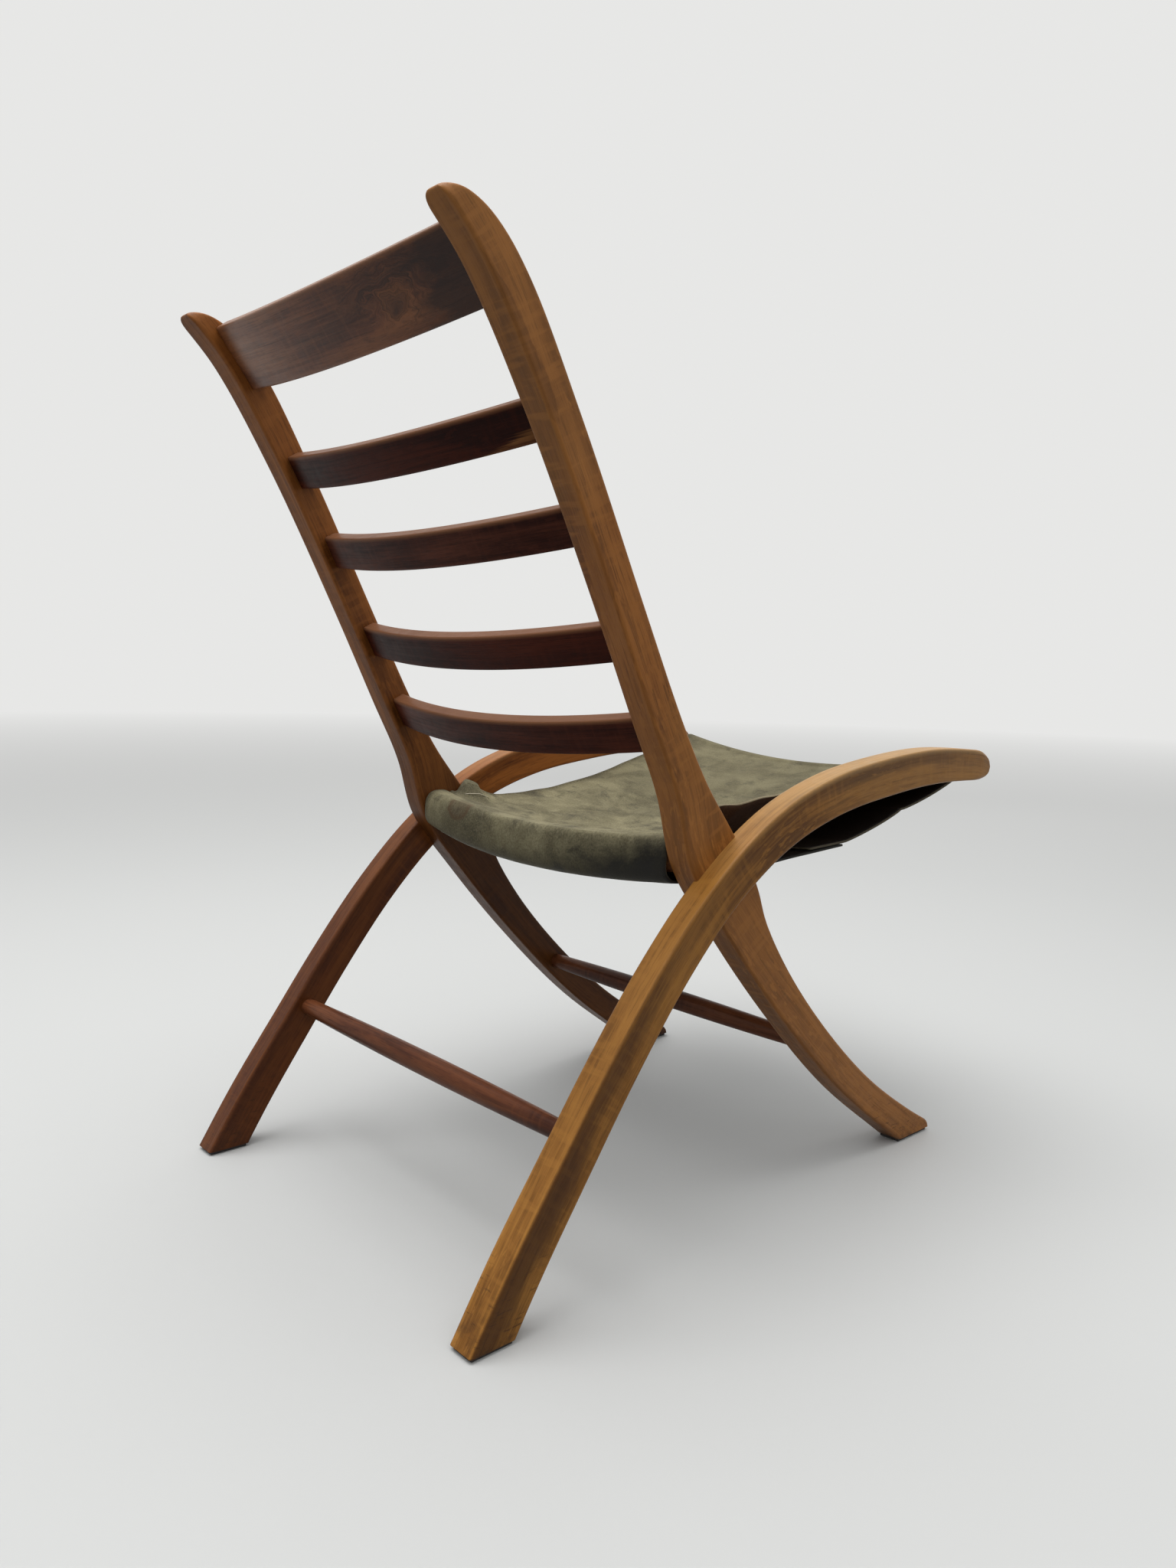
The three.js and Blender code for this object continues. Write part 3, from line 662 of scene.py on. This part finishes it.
def makeSlat(nodeName, pieceName, size):
    # the slat's middle and its lean are read off the end of its CAD tenon
    vertices = nodes[nodeName].data.vertices
    end = max(vertex.co.x for vertex in vertices)
    corners = {(round(vertex.co.y, 4), round(vertex.co.z, 4)) for vertex in vertices
               if vertex.co.x > end - tolerance}
    places = [Vector(corner) for corner in sorted(corners, key=lambda corner: corner[1])]
    low, high = (places[0] + places[1]) / 2, (places[-1] + places[-2]) / 2
    middle, up = (low + high) / 2, (high - low).normalized()
    back = Vector((up.y, -up.x))
    shoulder, steps = slatShape["shoulder"], slatShape["steps"]
    full = (size["thickness"], size["width"])
    body = [(shoulder * (2 * step / steps - 1), full) for step in range(steps + 1)]
    tenon = (slatShape["tenonThickness"], size["width"] - 2 * slatShape["tenonShoulder"])
    rings = []
    for x, (thickness, width) in withTenons(body, shoulder, end, tenon):
        bow = slatShape["bow"] * max(0.0, 1 - (x / slatShape["between"]) ** 2)
        ring = []
        for across, through, mark in sectionOf(width, thickness / 2, slatShape):
            spot = middle + up * (across - width / 2) + back * (bow + through)
            ring.append((Vector((x, *spot)), mark, (across, x, through)))
        rings.append(ring)
    look = dict(slatLooks[nodeName], top=(size["width"], *slatShape["top"]))
    finishWood(wrapRings(pieceName, rings), look, nodeName)


makeSlat("crest_slat", "crestSlat", slatShape["crest"])
for number in range(1, 5):
    makeSlat(f"back_slat_{number}", f"backSlat{number}", slatShape["plain"])
print("slats made")

# Stretchers, turned on a lathe and fullest in the middle; the sizes are radii
stretcherShape = {"middle": 0.0118, "end": 0.009, "tenon": 0.006, "tenonLength": 0.0137, "power": 0.8,
                  "sides": 32, "steps": 40}
stretcherLook = dict(heartWood, light=srgb(112, 66, 40), middle=srgb(84, 46, 29), dark=srgb(46, 23, 16),
                     coat=0.15)


def makeStretcher(nodeName, pieceName, look):
    low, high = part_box(nodeName)
    middle = (low + high) / 2
    shoulder, sides = high.x - stretcherShape["tenonLength"], stretcherShape["sides"]
    body = []
    for step in range(stretcherShape["steps"] + 1):
        share = step / stretcherShape["steps"]
        swell = math.sin(share * math.pi) ** stretcherShape["power"]
        radius = stretcherShape["end"] + (stretcherShape["middle"] - stretcherShape["end"]) * swell
        body.append((shoulder * (2 * share - 1), radius))
    rings = []
    for x, radius in withTenons(body, shoulder, high.x, stretcherShape["tenon"]):
        turns = [-2 * math.pi * turn / sides for turn in range(sides)]
        circle = [(radius * math.cos(turn), radius * math.sin(turn)) for turn in turns]
        rings.append([(Vector((x, middle.y + y, middle.z + z)), 0.0, (y, x, z)) for y, z in circle])
    finishWood(wrapRings(pieceName, rings), look, nodeName)


makeStretcher("rear_stretcher", "rearStretcher", dict(stretcherLook, start=(5.1, 3.3, 2.2)))
makeStretcher("front_stretcher", "frontStretcher", dict(stretcherLook, start=(6.4, 1.9, 4.4)))
print("stretchers made")

# The sling: one hide wrapped round both seat rails, its two ends lapping underneath. The first number of a
# place along it is how far forward it is of the back legs' heels, the second is its height.
sling = {
    "heel": 0.3456, "sole": 0.004, "hide": 0.0024, "wrapOffset": 0.0021, "sectionPower": 2 / 2.8,
    "rear": {"reach": 0.260, "height": 0.372, "depth": 0.034, "tall": 0.036, "bow": 0.023, "droop": 0.012},
    "front": {"reach": 0.719, "height": 0.437, "depth": 0.018, "tall": 0.022, "dip": 0.027},
    "uprightInner": 0.2065, "archInner": 0.230, "rollHalf": 0.2045, "hemHalf": 0.219,
    "rows": {"rearUnder": 46, "rearRoll": 30, "seat": 100, "frontRoll": 20, "frontUnder": 44, "lap": 12},
    "columns": 92, "seatCrowding": 1.25, "middleSag": 0.036, "farHemSag": 0.027, "nearHemLift": 0.022,
    "farCornerLift": 0.004, "curlWidth": 0.046, "cornerShare": 0.16, "curlFade": 0.35, "hangPower": 0.8,
    "underSag": 0.010, "flapDrop": 0.010, "flapSpacing": 0.0034, "rearFlapReach": 0.498,
    "frontFlapReach": 0.440, "topWidening": 0.313, "underWidening": 0.352, "widenOver": 0.011,
    "cut": (0.438, 1.144), "area": 0.50,
}
underParts = ("rearUnder", "frontUnder", "lap")

# What use has done to the hide. The waves are (times x, times reach, start), the belly is (depth in the
# middle, less per metre to the far side), and the ridge lies at a share of the roll's way round.
slingUse = {
    "broad": (13, 11, 3.1), "fine": (46, 38, 8.7), "wobble": 0.0030, "ripple": 0.0007, "creases": 0.0012,
    "fixedEnds": 8, "folds": {"height": 0.0016, "x": -0.15, "wide": 0.07, "share": 0.25, "long": 0.2},
    "ridge": {"height": 0.0036, "at": 0.66, "skew": 0.05, "wander": 0.015, "rise": 0.12, "fall": 0.035},
    "roll": {"broad": 0.0011, "fine": 0.0003, "from": 0.12, "to": 0.62},
    "under": 0.0010, "belly": (0.0045, 0.014),
    "flap": {"lift": 0.018, "width": 0.032, "from": 0.281, "peak": 0.295, "to": 0.375},
    "scallop": {"depth": 0.0032, "count": 2, "from": 0.205, "to": 0.110},
}


def railPoint(rail, angle, offset):
    c, s = math.cos(angle), math.sin(angle)
    power = sling["sectionPower"]
    return Vector((math.copysign(abs(c) ** power, c) * (rail["depth"] / 2 + offset),
                   math.copysign(abs(s) ** power, s) * (rail["tall"] / 2 + offset)))


def seatDrop(acrossShare, along):
    across = acrossShare * sling["rollHalf"]
    hemSag = sling["farHemSag"] * (acrossShare + 1) / 2
    sag = hemSag + (sling["middleSag"] - hemSag) * (1 - acrossShare ** 2)
    toNear = max(0.0, 1 - (across + sling["rollHalf"]) / sling["curlWidth"])
    toFar = max(0.0, 1 - (sling["rollHalf"] - across) / sling["curlWidth"])
    corner = max(0.0, 1 - along / sling["cornerShare"])
    lift = (sling["nearHemLift"] * toNear ** 2 * min(1.0, (1 - along) / sling["curlFade"])
            + sling["farCornerLift"] * toFar ** 2 * corner)
    return sag * math.sin(math.pi * along ** sling["hangPower"]) - lift


def slingPath(acrossShare):
    # the hide's middle line at one place across, as (place, part, share of the part)
    rear, front, rows = sling["rear"], sling["front"], sling["rows"]
    bow = 1 - (acrossShare * sling["rollHalf"] / sling["uprightInner"]) ** 2
    dip = 1 - (acrossShare * sling["hemHalf"] / sling["archInner"]) ** 2
    rearRail = Vector((rear["reach"] - rear["bow"] * bow, rear["height"] - rear["droop"] * bow))
    frontRail = Vector((front["reach"], front["height"] - front["dip"] * dip))
    hang = 1 - acrossShare ** 2
    meet = rear["height"] - rear["tall"] / 2 + sling["flapDrop"] - sling["underSag"] * hang

    def run(part, placeAt):
        return [(placeAt(row / rows[part], row), part, row / rows[part]) for row in range(rows[part] + 1)]

    def wrap(part, rail, middle, start, end):
        return run(part, lambda _, row: middle + railPoint(
            rail, start + (end - start) * row / rows[part], sling["wrapOffset"]))

    def hangLoose(part, start, end):
        return run(part, lambda share, _: start.lerp(end, share))

    rearRoll = wrap("rearRoll", rear, rearRail, 1.5 * math.pi, 0.25 * math.pi)
    frontRoll = wrap("frontRoll", front, frontRail, 0.75 * math.pi, -0.5 * math.pi)
    rearBottom, rearTop = rearRoll[0][0], rearRoll[-1][0]
    frontTop, frontBottom = frontRoll[0][0], frontRoll[-1][0]
    rearReach, frontReach = sling["rearFlapReach"], sling["frontFlapReach"]
    rearEnd = Vector((rearReach, meet - sling["flapSpacing"]))
    frontMeet = Vector((rearReach, meet))
    slope = (rearBottom.y - rearEnd.y) / (rearReach - rearBottom.x)
    frontEnd = Vector((frontReach, meet + slope * (rearReach - frontReach)))
    seat = []
    for row in range(1, rows["seat"]):
        along = (row / rows["seat"]) ** sling["seatCrowding"]
        place = rearTop.lerp(frontTop, along)
        place.y -= seatDrop(acrossShare, along)
        seat.append((place, "seat", along))
    return [*hangLoose("rearUnder", rearEnd, rearBottom)[:-1], *rearRoll, *seat, *frontRoll,
            *hangLoose("frontUnder", frontBottom, frontMeet)[1:], *hangLoose("lap", frontMeet, frontEnd)[1:]]


def easePath(path):
    # lets the seat leave each rail in a soft curve
    for _ in range(2):
        eased = [place for place, _, _ in path]
        for row in range(1, len(path) - 1):
            if path[row][1] == "seat":
                eased[row] = (path[row - 1][0] + path[row][0] * 2 + path[row + 1][0]) / 4
        path = [(place, part, spot) for place, (_, part, spot) in zip(eased, path)]
    return path


def slingHalf(place, part):
    # half the hide's width: narrow between the uprights, wider in front of them
    if part == "frontRoll":
        return sling["hemHalf"]
    start = sling["underWidening"] if part in underParts else sling["topWidening"]
    widening = smoothStep(place.x, start, start + sling["widenOver"])
    return sling["rollHalf"] + (sling["hemHalf"] - sling["rollHalf"]) * widening


def undersideOf(part, spot):
    # 1 under the seat, less and less up round the two rolls
    fades = {"rearRoll": 1 - spot * 2.5, "frontRoll": spot * 2 - 1}
    return 1.0 if part in underParts else max(0.0, fades.get(part, 0.0))


def handle(x, reach, part, share, acrossShare):
    # what use has done to the hide: how far a place stands off its plain path
    broad, fine = (noise.noise(Vector((x * slingUse[wave][0], reach * slingUse[wave][1], slingUse[wave][2])))
                   for wave in ("broad", "fine"))
    belly = slingUse["belly"][0] - slingUse["belly"][1] * x
    arched = math.sin(math.pi * share)
    if part == "seat":
        folds, flap = slingUse["folds"], slingUse["flap"]
        free = min(1.0, share * slingUse["fixedEnds"], (1 - share) * slingUse["fixedEnds"])
        creases = slingUse["creases"] * noise.noise(Vector((x * 22 + reach * 30, reach * 16 - x * 12, 5.5)))
        pulled = math.exp(-((x - folds["x"]) / folds["wide"]) ** 2
                          - ((share - folds["share"]) / folds["long"]) ** 2)
        folded = math.sin(x * 95 + reach * 150 + 3 * broad) * pulled * folds["height"]
        corner = max(0.0, 1 - (slingHalf(Vector((reach, 0)), part) - x) / flap["width"])
        rise = smoothStep(reach, flap["from"], flap["peak"])
        fall = smoothStep(reach, flap["peak"], flap["to"])
        corner *= rise * (1 - fall)
        return (free * (slingUse["wobble"] * broad + slingUse["ripple"] * fine + creases + folded)
                + flap["lift"] * corner ** 1.5)
    if part == "rearRoll":
        ridge, roll = slingUse["ridge"], slingUse["roll"]
        across = 1 - acrossShare ** 4
        ridgeAt = ridge["at"] + ridge["skew"] * acrossShare + ridge["wander"] * broad
        slope = ridge["rise"] if share < ridgeAt else ridge["fall"]
        return (math.exp(-((share - ridgeAt) / slope) ** 2) * across * ridge["height"]
                + roll["broad"] * (0.5 + broad) * across * arched + roll["fine"] * fine
                + belly * (1 - smoothStep(share, roll["from"], roll["to"])))
    if part == "rearUnder":
        return belly * share ** 1.5 + slingUse["under"] * broad * arched
    if part == "frontUnder":
        scallop = slingUse["scallop"]
        toHem = smoothStep(-x, scallop["to"], scallop["from"])
        hung = abs(math.sin(math.pi * scallop["count"] * share)) ** 0.6 * scallop["depth"]
        return slingUse["under"] * broad * arched + hung * toHem
    return 0.0


def makeSling():
    columns = sling["columns"]
    shares = [2 * column / columns - 1 for column in range(columns + 1)]
    paths = [easePath(slingPath(share)) for share in shares]
    rows, middle = len(paths[0]), [place for place, _, _ in paths[columns // 2]]
    along = [0.0]
    for place, onward in zip(middle, middle[1:]):
        along.append(along[-1] + (onward - place).length)
    places, under, hem, flat = [], [], [], []
    for row in range(rows):
        for share, path in zip(shares, paths):
            place, part, spot = path[row]
            run = (path[min(rows - 1, row + 1)][0] - path[max(0, row - 1)][0]).normalized()
            x = share * slingHalf(place, part)
            place = place + Vector((-run.y, run.x)) * handle(x, place.x, part, spot, share)
            places.append((x, sling["heel"] - place.x, sling["sole"] + place.y))
            under.append(undersideOf(part, spot))
            hem.append(slingHalf(place, part) - abs(x))
            flat.append((x, along[row]))
    piece = newGrid("suedeSling", columns, rows - 1, places)
    addLayer(piece, "under", under)
    addLayer(piece, "hem", hem)
    uvs = piece.data.uv_layers[0]
    for loop in piece.data.loops:
        uvs.uv[loop.index].vector = flat[loop.vertex_index]
    if piece.data.polygons[(rows // 2) * columns + columns // 2].normal.z < 0:
        editAll(piece)
        bpy.ops.mesh.flip_normals()
        endEdit()
    makeActive(piece)
    bpy.ops.object.shade_smooth()
    for item in (suedeMaterial, fleshMaterial, cutEdgeMaterial):
        piece.data.materials.append(item)
    wall = piece.modifiers.new("hide", "SOLIDIFY")
    wall.thickness = sling["hide"]
    wall.offset = 0
    wall.material_offset = 1
    wall.material_offset_rim = 2
    applyModifiers(piece)
    print("sling path", round(along[-1], 4), "m")
    width = columns + 1
    grid = [[Vector(place) for place in places[row * width:(row + 1) * width]] for row in range(rows)]
    return piece, grid, [part for _, part, _ in paths[0]]


def makeSuede(name, look):
    # nap, rubbed places, stains and grime of an old suede hide, with painted shade and a painted highlight;
    # the cut is (across, along) in metres
    material, tree = newMaterial(name)
    place = placeOf(tree)
    cut = addNode(tree, "ShaderNodeUVMap").outputs[0]
    across, along, _ = axesOf(cut)
    clouds = noiseOf(place, 17.0, 5.0, 0.62, 0.6)
    blots = noiseOf(cut, (24, 30, 1), 6.0, 0.68, 0.35)
    brushed = noiseOf(cut, (52, 84, 1), 5.0, 0.68, 0.5)
    nap = noiseOf(cut, 470.0, 4.0, 0.8)
    tone = tint(look["worn"], look["main"], clouds, 0.37, 0.64)
    tone = tint(tone, look["dirtAndShade"], blots, 0.53, 0.67, look["blots"])
    tone = tint(tone, look["pale"], brushed, 0.50, 0.78, 0.35)
    tone = tint(tone, look["dirtAndShade"], nap, 0.51, 0.63, 0.46)
    tone = tint(tone, look["pale"], nap, 0.47, 0.36, 0.34)
    # towards the front the seat is painted darker, as shade
    tone = tint(tone, look["main"], along, 0.50, 0.70, look["stainAndPaintedLight"] * 0.5)
    # the hems have taken up dirt; the underside is near black, partly dirt and partly painted shade
    tone = tint(tone, look["dirtAndShade"], plus(attributeOf(tree, "hem"), times(blots, 0.012)), 0.020, 0.004, 0.5)
    shadeAndDirtUnder = times(attributeOf(tree, "under"), look["under"])
    tone = lay(tone, look["black"], shadeAndDirtUnder)
    # a ring of brown stain on the roll
    middleX, middleY, sizeX, sizeY = look["stain"]
    stainX, stainY = (doMath("DIVIDE", minus(axis, middle), size)
                      for axis, middle, size in ((across, middleX, sizeX), (along, middleY, sizeY)))
    reach = plus(times(stainX, stainX), times(stainY, stainY), times(brushed, 0.8))
    ringed = times(spread(reach, 1.6, 1.2), spread(reach, 0.7, 1.2, 0.35, 0.9))
    tone = lay(tone, srgb(76, 54, 36), ringed, look["stainAndPaintedLight"])
    # painted shade darkens the roll behind its crest, towards the near end, and a painted highlight lies on
    # the crest
    beyond = plus(minus(along, times(across, 0.034)), spread(clouds, 0.2, 0.8, -0.003, 0.003))
    shaded = times(spread(beyond, 0.3155, 0.309), spread(across, 0.04, -0.19, 0.0, 0.40))
    tone = lay(tone, look["dirtAndShade"], shaded, look["stainAndPaintedLight"])
    crest = times(spread(beyond, 0.3145, 0.3175), spread(beyond, 0.330, 0.319))
    tone = lay(tone, look["pale"], crest, look["stainAndPaintedLight"] * 0.22)
    # darker to near black along the foot of the roll, most at the near end
    rollFoot = minus(plus(times(plus(across, 0.06), -0.22), 0.277), along)
    rollFoot = plus(rollFoot, spread(blots, 0.2, 0.8, -0.020, 0.020))
    tone = lay(tone, look["black"], spread(rollFoot, -0.020, 0.014), spread(across, 0.08, -0.14), look["rollFootDark"])
    rough = spread(blots, 0.3, 0.8, look["rough"], look["rough"] - 0.12)
    closeMaterial(tree, tone, minus(rough, times(shadeAndDirtUnder, look["gloss"])),
                  (plus(times(nap, 0.5), brushed), 0.55, 0.0009), **{
                      "Sheen Weight": look["sheen"], "Sheen Roughness": 0.45, "Sheen Tint": look["pale"],
                      "Specular IOR Level": 0.25})
    return material


# A stain is (middle across, middle along, half its width, half its length)
suedeLook = {
    "main": srgb(84, 78, 58), "worn": srgb(130, 123, 95), "pale": srgb(158, 151, 121),
    "dirtAndShade": srgb(42, 38, 30), "black": srgb(12, 12, 13), "blots": 0.75, "under": 0.96, "rollFootDark": 0.9,
    "stainAndPaintedLight": 0.85, "rough": 0.92, "gloss": 0.45, "sheen": 0.25, "stain": (0.120, 0.3126, 0.024, 0.014),
}
suedeMaterial = makeSuede("oliveSuede", suedeLook)
fleshMaterial = makeSuede("fleshSide", dict(
    suedeLook, main=srgb(74, 52, 36), worn=srgb(88, 64, 46), pale=srgb(104, 80, 60), dirtAndShade=srgb(44, 30, 22),
    under=0.95, rollFootDark=0.0, stainAndPaintedLight=0.0, gloss=0.35, sheen=0.1))
cutEdgeMaterial = makeSuede("cutEdge", dict(
    suedeLook, main=srgb(132, 122, 98), worn=srgb(150, 140, 114), pale=srgb(170, 162, 138),
    dirtAndShade=srgb(96, 84, 64), under=0.62, stainAndPaintedLight=0.0, blots=0.3, gloss=0.3))
slingPiece, hideGrid, hideParts = makeSling()
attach(slingPiece, "root")
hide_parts("seat_sling")
print("sling made")

# Stitches along the seat's two hems, and a loose end of pale thread at the far rear corner. The thread's
# way is (columns from the far hem, pairs of rows from the roll, height above the hide).
stitching = {
    "pitch": 0.0062, "length": 0.0040, "width": 0.0009, "column": 1, "lift": 0.0013,
    "way": ((3, 3, 0.0016), (4, 4, 0.0026), (4, 6, 0.0036), (5, 8, 0.0034), (6, 9, 0.0022)),
    "steps": 12, "sides": 8, "radius": 0.00045, "endRadius": 0.00025,
}


def makeThread(name, colour):
    # twisted linen thread
    material, tree = newMaterial(name)
    place = placeOf(tree)
    twist = noiseOf(place, (900, 2600, 900), 2.0)
    worn = noiseOf(place, 60.0, 3.0)
    # the twist painted darker in its grooves, as shade; worn places take up dirt
    tone = tint(colour, tuple(part * 0.45 for part in colour[:3]) + (1.0,), twist, 0.4, 0.7)
    tone = tint(tone, suedeLook["dirtAndShade"], worn, 0.5, 0.7, 0.6)
    closeMaterial(tree, tone, spread(worn, 0.3, 0.7, 0.75, 0.9), (twist, 0.5, 0.0002),
                  **{"Specular IOR Level": 0.25})
    return material


def hideNormal(row, column):
    last = len(hideGrid[0]) - 1
    run = hideGrid[row + 1][column] - hideGrid[row - 1][column]
    side = hideGrid[row][min(last, column + 1)] - hideGrid[row][max(0, column - 1)]
    normal = side.cross(run).normalized()
    return normal if normal.z > 0 else -normal


def makeStitches():
    deselectAll()
    bpy.ops.mesh.primitive_uv_sphere_add(segments=8, ring_count=6, radius=1)
    first = bpy.context.object
    first.name = "hemStitches"
    size = (stitching["length"] / 2, stitching["width"] / 2, stitching["width"] * 0.4)
    first.data.transform(Matrix.Diagonal((*size, 1.0)))
    inSeat = [row for row, part in enumerate(hideParts) if part == "seat"][2:-1]
    made = []
    for column in (stitching["column"], len(hideGrid[0]) - 1 - stitching["column"]):
        left = 0.0
        for row in inSeat:
            start = hideGrid[row][column]
            run = hideGrid[row + 1][column] - start
            if left > run.length:
                left -= run.length
                continue
            upward, along = hideNormal(row, column), run.normalized()
            turn = Matrix((along, upward.cross(along).normalized(), upward)).transposed().to_4x4()
            spot = start + along * left + upward * stitching["lift"]
            stitch = first.copy()
            stitch.data = first.data.copy()
            stitch.data.transform(Matrix.Translation(spot) @ turn)
            scene.collection.objects.link(stitch)
            made.append(stitch)
            left += stitching["pitch"] - run.length
    bpy.data.objects.remove(first)
    makeActive(made[0])
    for stitch in made:
        stitch.select_set(True)
    bpy.ops.object.join()
    piece = bpy.context.object
    piece.name = "hemStitches"
    bpy.ops.object.shade_smooth()
    return finishPiece(piece, makeThread("hemThread", srgb(112, 100, 74)))


def makeLooseThread():
    firstRow, last = hideParts.index("seat"), len(hideGrid[0]) - 1
    steps, sides = stitching["steps"], stitching["sides"]
    spots = []
    for inward, onward, lift in stitching["way"]:
        row, column = firstRow + onward * 2, last - inward
        spots.append(hideGrid[row][column] + hideNormal(row, column) * lift)
    rings = []
    for number in range(steps + 1):
        share = number / steps * (len(spots) - 1)
        part = min(int(share), len(spots) - 2)
        middle = spots[part].lerp(spots[part + 1], share - part)
        run = (spots[part + 1] - spots[part]).normalized()
        side = run.cross(Vector((0, 0, 1))).normalized()
        above = side.cross(run)
        radius = stitching["radius"] if 0 < number < steps else stitching["endRadius"]
        turns = [turn * math.pi / (sides / 2) for turn in range(sides)]
        circle = [middle + (side * math.cos(turn) + above * math.sin(turn)) * radius for turn in turns]
        rings.append([(place, 0.0, (0.0, 0.0, 0.0)) for place in circle])
    piece = wrapRings("looseThread", rings)
    shadeRounded(piece)
    return finishPiece(piece, makeThread("paleThread", srgb(214, 206, 184)))


stitches = [makeStitches(), makeLooseThread()]
print("stitches made")

# Pads under the feet: hard dark rubber, worn at the edge
padShape = {"ease": 0.0009, "segments": 3}


def makePadMaterial():
    material, tree = newMaterial("padRubber")
    place = placeOf(tree)
    cloud = noiseOf(place, 260.0, 4.0, 0.65)
    grit = noiseOf(place, 2200.0, 2.0, 0.6)
    tone = tint(srgb(30, 28, 27), srgb(62, 57, 52), cloud, 0.4, 0.7)
    closeMaterial(tree, tone, spread(cloud, 0.3, 0.7, 0.65, 0.85), (grit, 0.4, 0.0003))
    return material


padMaterial = makePadMaterial()
for side in ("right", "left"):
    for end in ("rear", "front"):
        nodeName = f"{side}_{end}_foot_pad"
        pad = copyOfNode(nodeName, f"{side}{end.capitalize()}Pad")
        rounding = pad.modifiers.new("ease", "BEVEL")
        rounding.width = padShape["ease"]
        rounding.segments = padShape["segments"]
        applyModifiers(pad)
        shadeRounded(pad)
        finishPiece(pad, padMaterial, [nodeName])
print("pads made")

# Lap pins are out of sight and seat rails nearly so: plainer wood, grain along the chair's width
innerLook = {"Light": srgb(152, 102, 56), "Middle": srgb(120, 74, 36), "Dark": srgb(70, 40, 20),
             "Heart": 0.3, "Fleck": 0.2, "Pins": 0.2}


def makeInnerWood():
    material, tree = newMaterial("innerWood")
    x, y, z = axesOf(placeOf(tree))
    grain = addNode(tree, "ShaderNodeCombineXYZ", None, X=z, Y=x, Z=y).outputs[0]
    figure = addNode(tree, "ShaderNodeGroup", {"node_tree": woodFigure}, Grain=grain, **innerLook).outputs
    closeMaterial(tree, figure["Color"], plus(figure["Rough"], 0.55), (figure["Height"], 0.5, 0.0004))
    return material


innerWood = makeInnerWood()
for nodeName in ("rear_seat_rail", "front_seat_rail", "right_lap_pin", "left_lap_pin"):
    nodes[nodeName].data.materials.clear()
    nodes[nodeName].data.materials.append(innerWood)
print("inner pieces finished")

# Floor, lights and background
stage = {
    "size": 60.0, "colour": srgb(196, 197, 196), "bounce": srgb(116, 116, 115), "fade": (2.0, 10.0),
    "far": (0.80, 0.80, 0.79, 1.0), "low": (0.22, 0.22, 0.23, 1.0), "high": (1.0, 1.0, 0.99, 1.0),
    "target": (0, 0, 0.4),
}
lights = {
    "top": {"place": (0.3, 0.5, 3.2), "size": 2.6, "power": 72.0},
    "window": {"place": (-2.6, 1.6, 2.4), "size": 2.0, "power": 9.0},
    "fill": {"place": (1.8, -2.6, 1.8), "size": 2.6, "power": 4.0},
}


def seenOf(tree):
    # 1 for what the camera sees, also in a reflection or through glass
    path = addNode(tree, "ShaderNodeLightPath").outputs
    seen = doMath("MAXIMUM", path["Is Camera Ray"], path["Is Glossy Ray"])
    return doMath("MAXIMUM", seen, path["Is Transmission Ray"])


def addFloor():
    # far from the chair the floor fades into the backdrop's colour, for the camera and reflections only
    deselectAll()
    bpy.ops.mesh.primitive_plane_add(size=stage["size"], location=(0, 0, 0))
    floor = bpy.context.object
    floor.name = "floor"
    material, tree = newMaterial("paleFloor")
    distance = doVector("LENGTH", placeOf(tree), output="Value")
    seen = seenOf(tree)
    ground = lay(stage["bounce"], stage["colour"], seen)
    near = addNode(tree, "ShaderNodeBsdfPrincipled", None, **{"Base Color": ground, "Roughness": 0.7})
    far = addNode(tree, "ShaderNodeEmission", None, Color=stage["far"], Strength=1.0)
    blend = addNode(tree, "ShaderNodeMixShader", None, i0=times(seen, spread(distance, *stage["fade"])),
                    i1=near.outputs[0], i2=far.outputs[0])
    addNode(tree, "ShaderNodeOutputMaterial", None, Surface=blend.outputs[0])
    floor.data.materials.append(material)


def addLights():
    for name, values in lights.items():
        lamp = bpy.data.objects.new(name, bpy.data.lights.new(name, "AREA"))
        lamp.data.shape = "SQUARE"
        lamp.data.size = values["size"]
        lamp.data.energy = values["power"]
        lamp.location = values["place"]
        lamp.rotation_mode = "QUATERNION"
        lamp.rotation_quaternion = (lamp.location - Vector(stage["target"])).to_track_quat("Z", "Y")
        scene.collection.objects.link(lamp)


def addWorld():
    world = bpy.data.worlds.new("studio")
    world.use_nodes = True
    tree = world.node_tree
    tree.nodes.clear()
    upward = axesOf(addNode(tree, "ShaderNodeTexCoord").outputs["Generated"])[2]
    sky = tint(stage["low"], stage["high"], upward, 0.0, 0.9)
    tone = lay(sky, stage["far"], seenOf(tree))
    background = addNode(tree, "ShaderNodeBackground", None, Color=tone, Strength=1.0)
    addNode(tree, "ShaderNodeOutputWorld", None, Surface=background.outputs[0])
    scene.world = world


addFloor()
addLights()
addWorld()
scene.view_settings.view_transform = "Standard"
print("stage set")
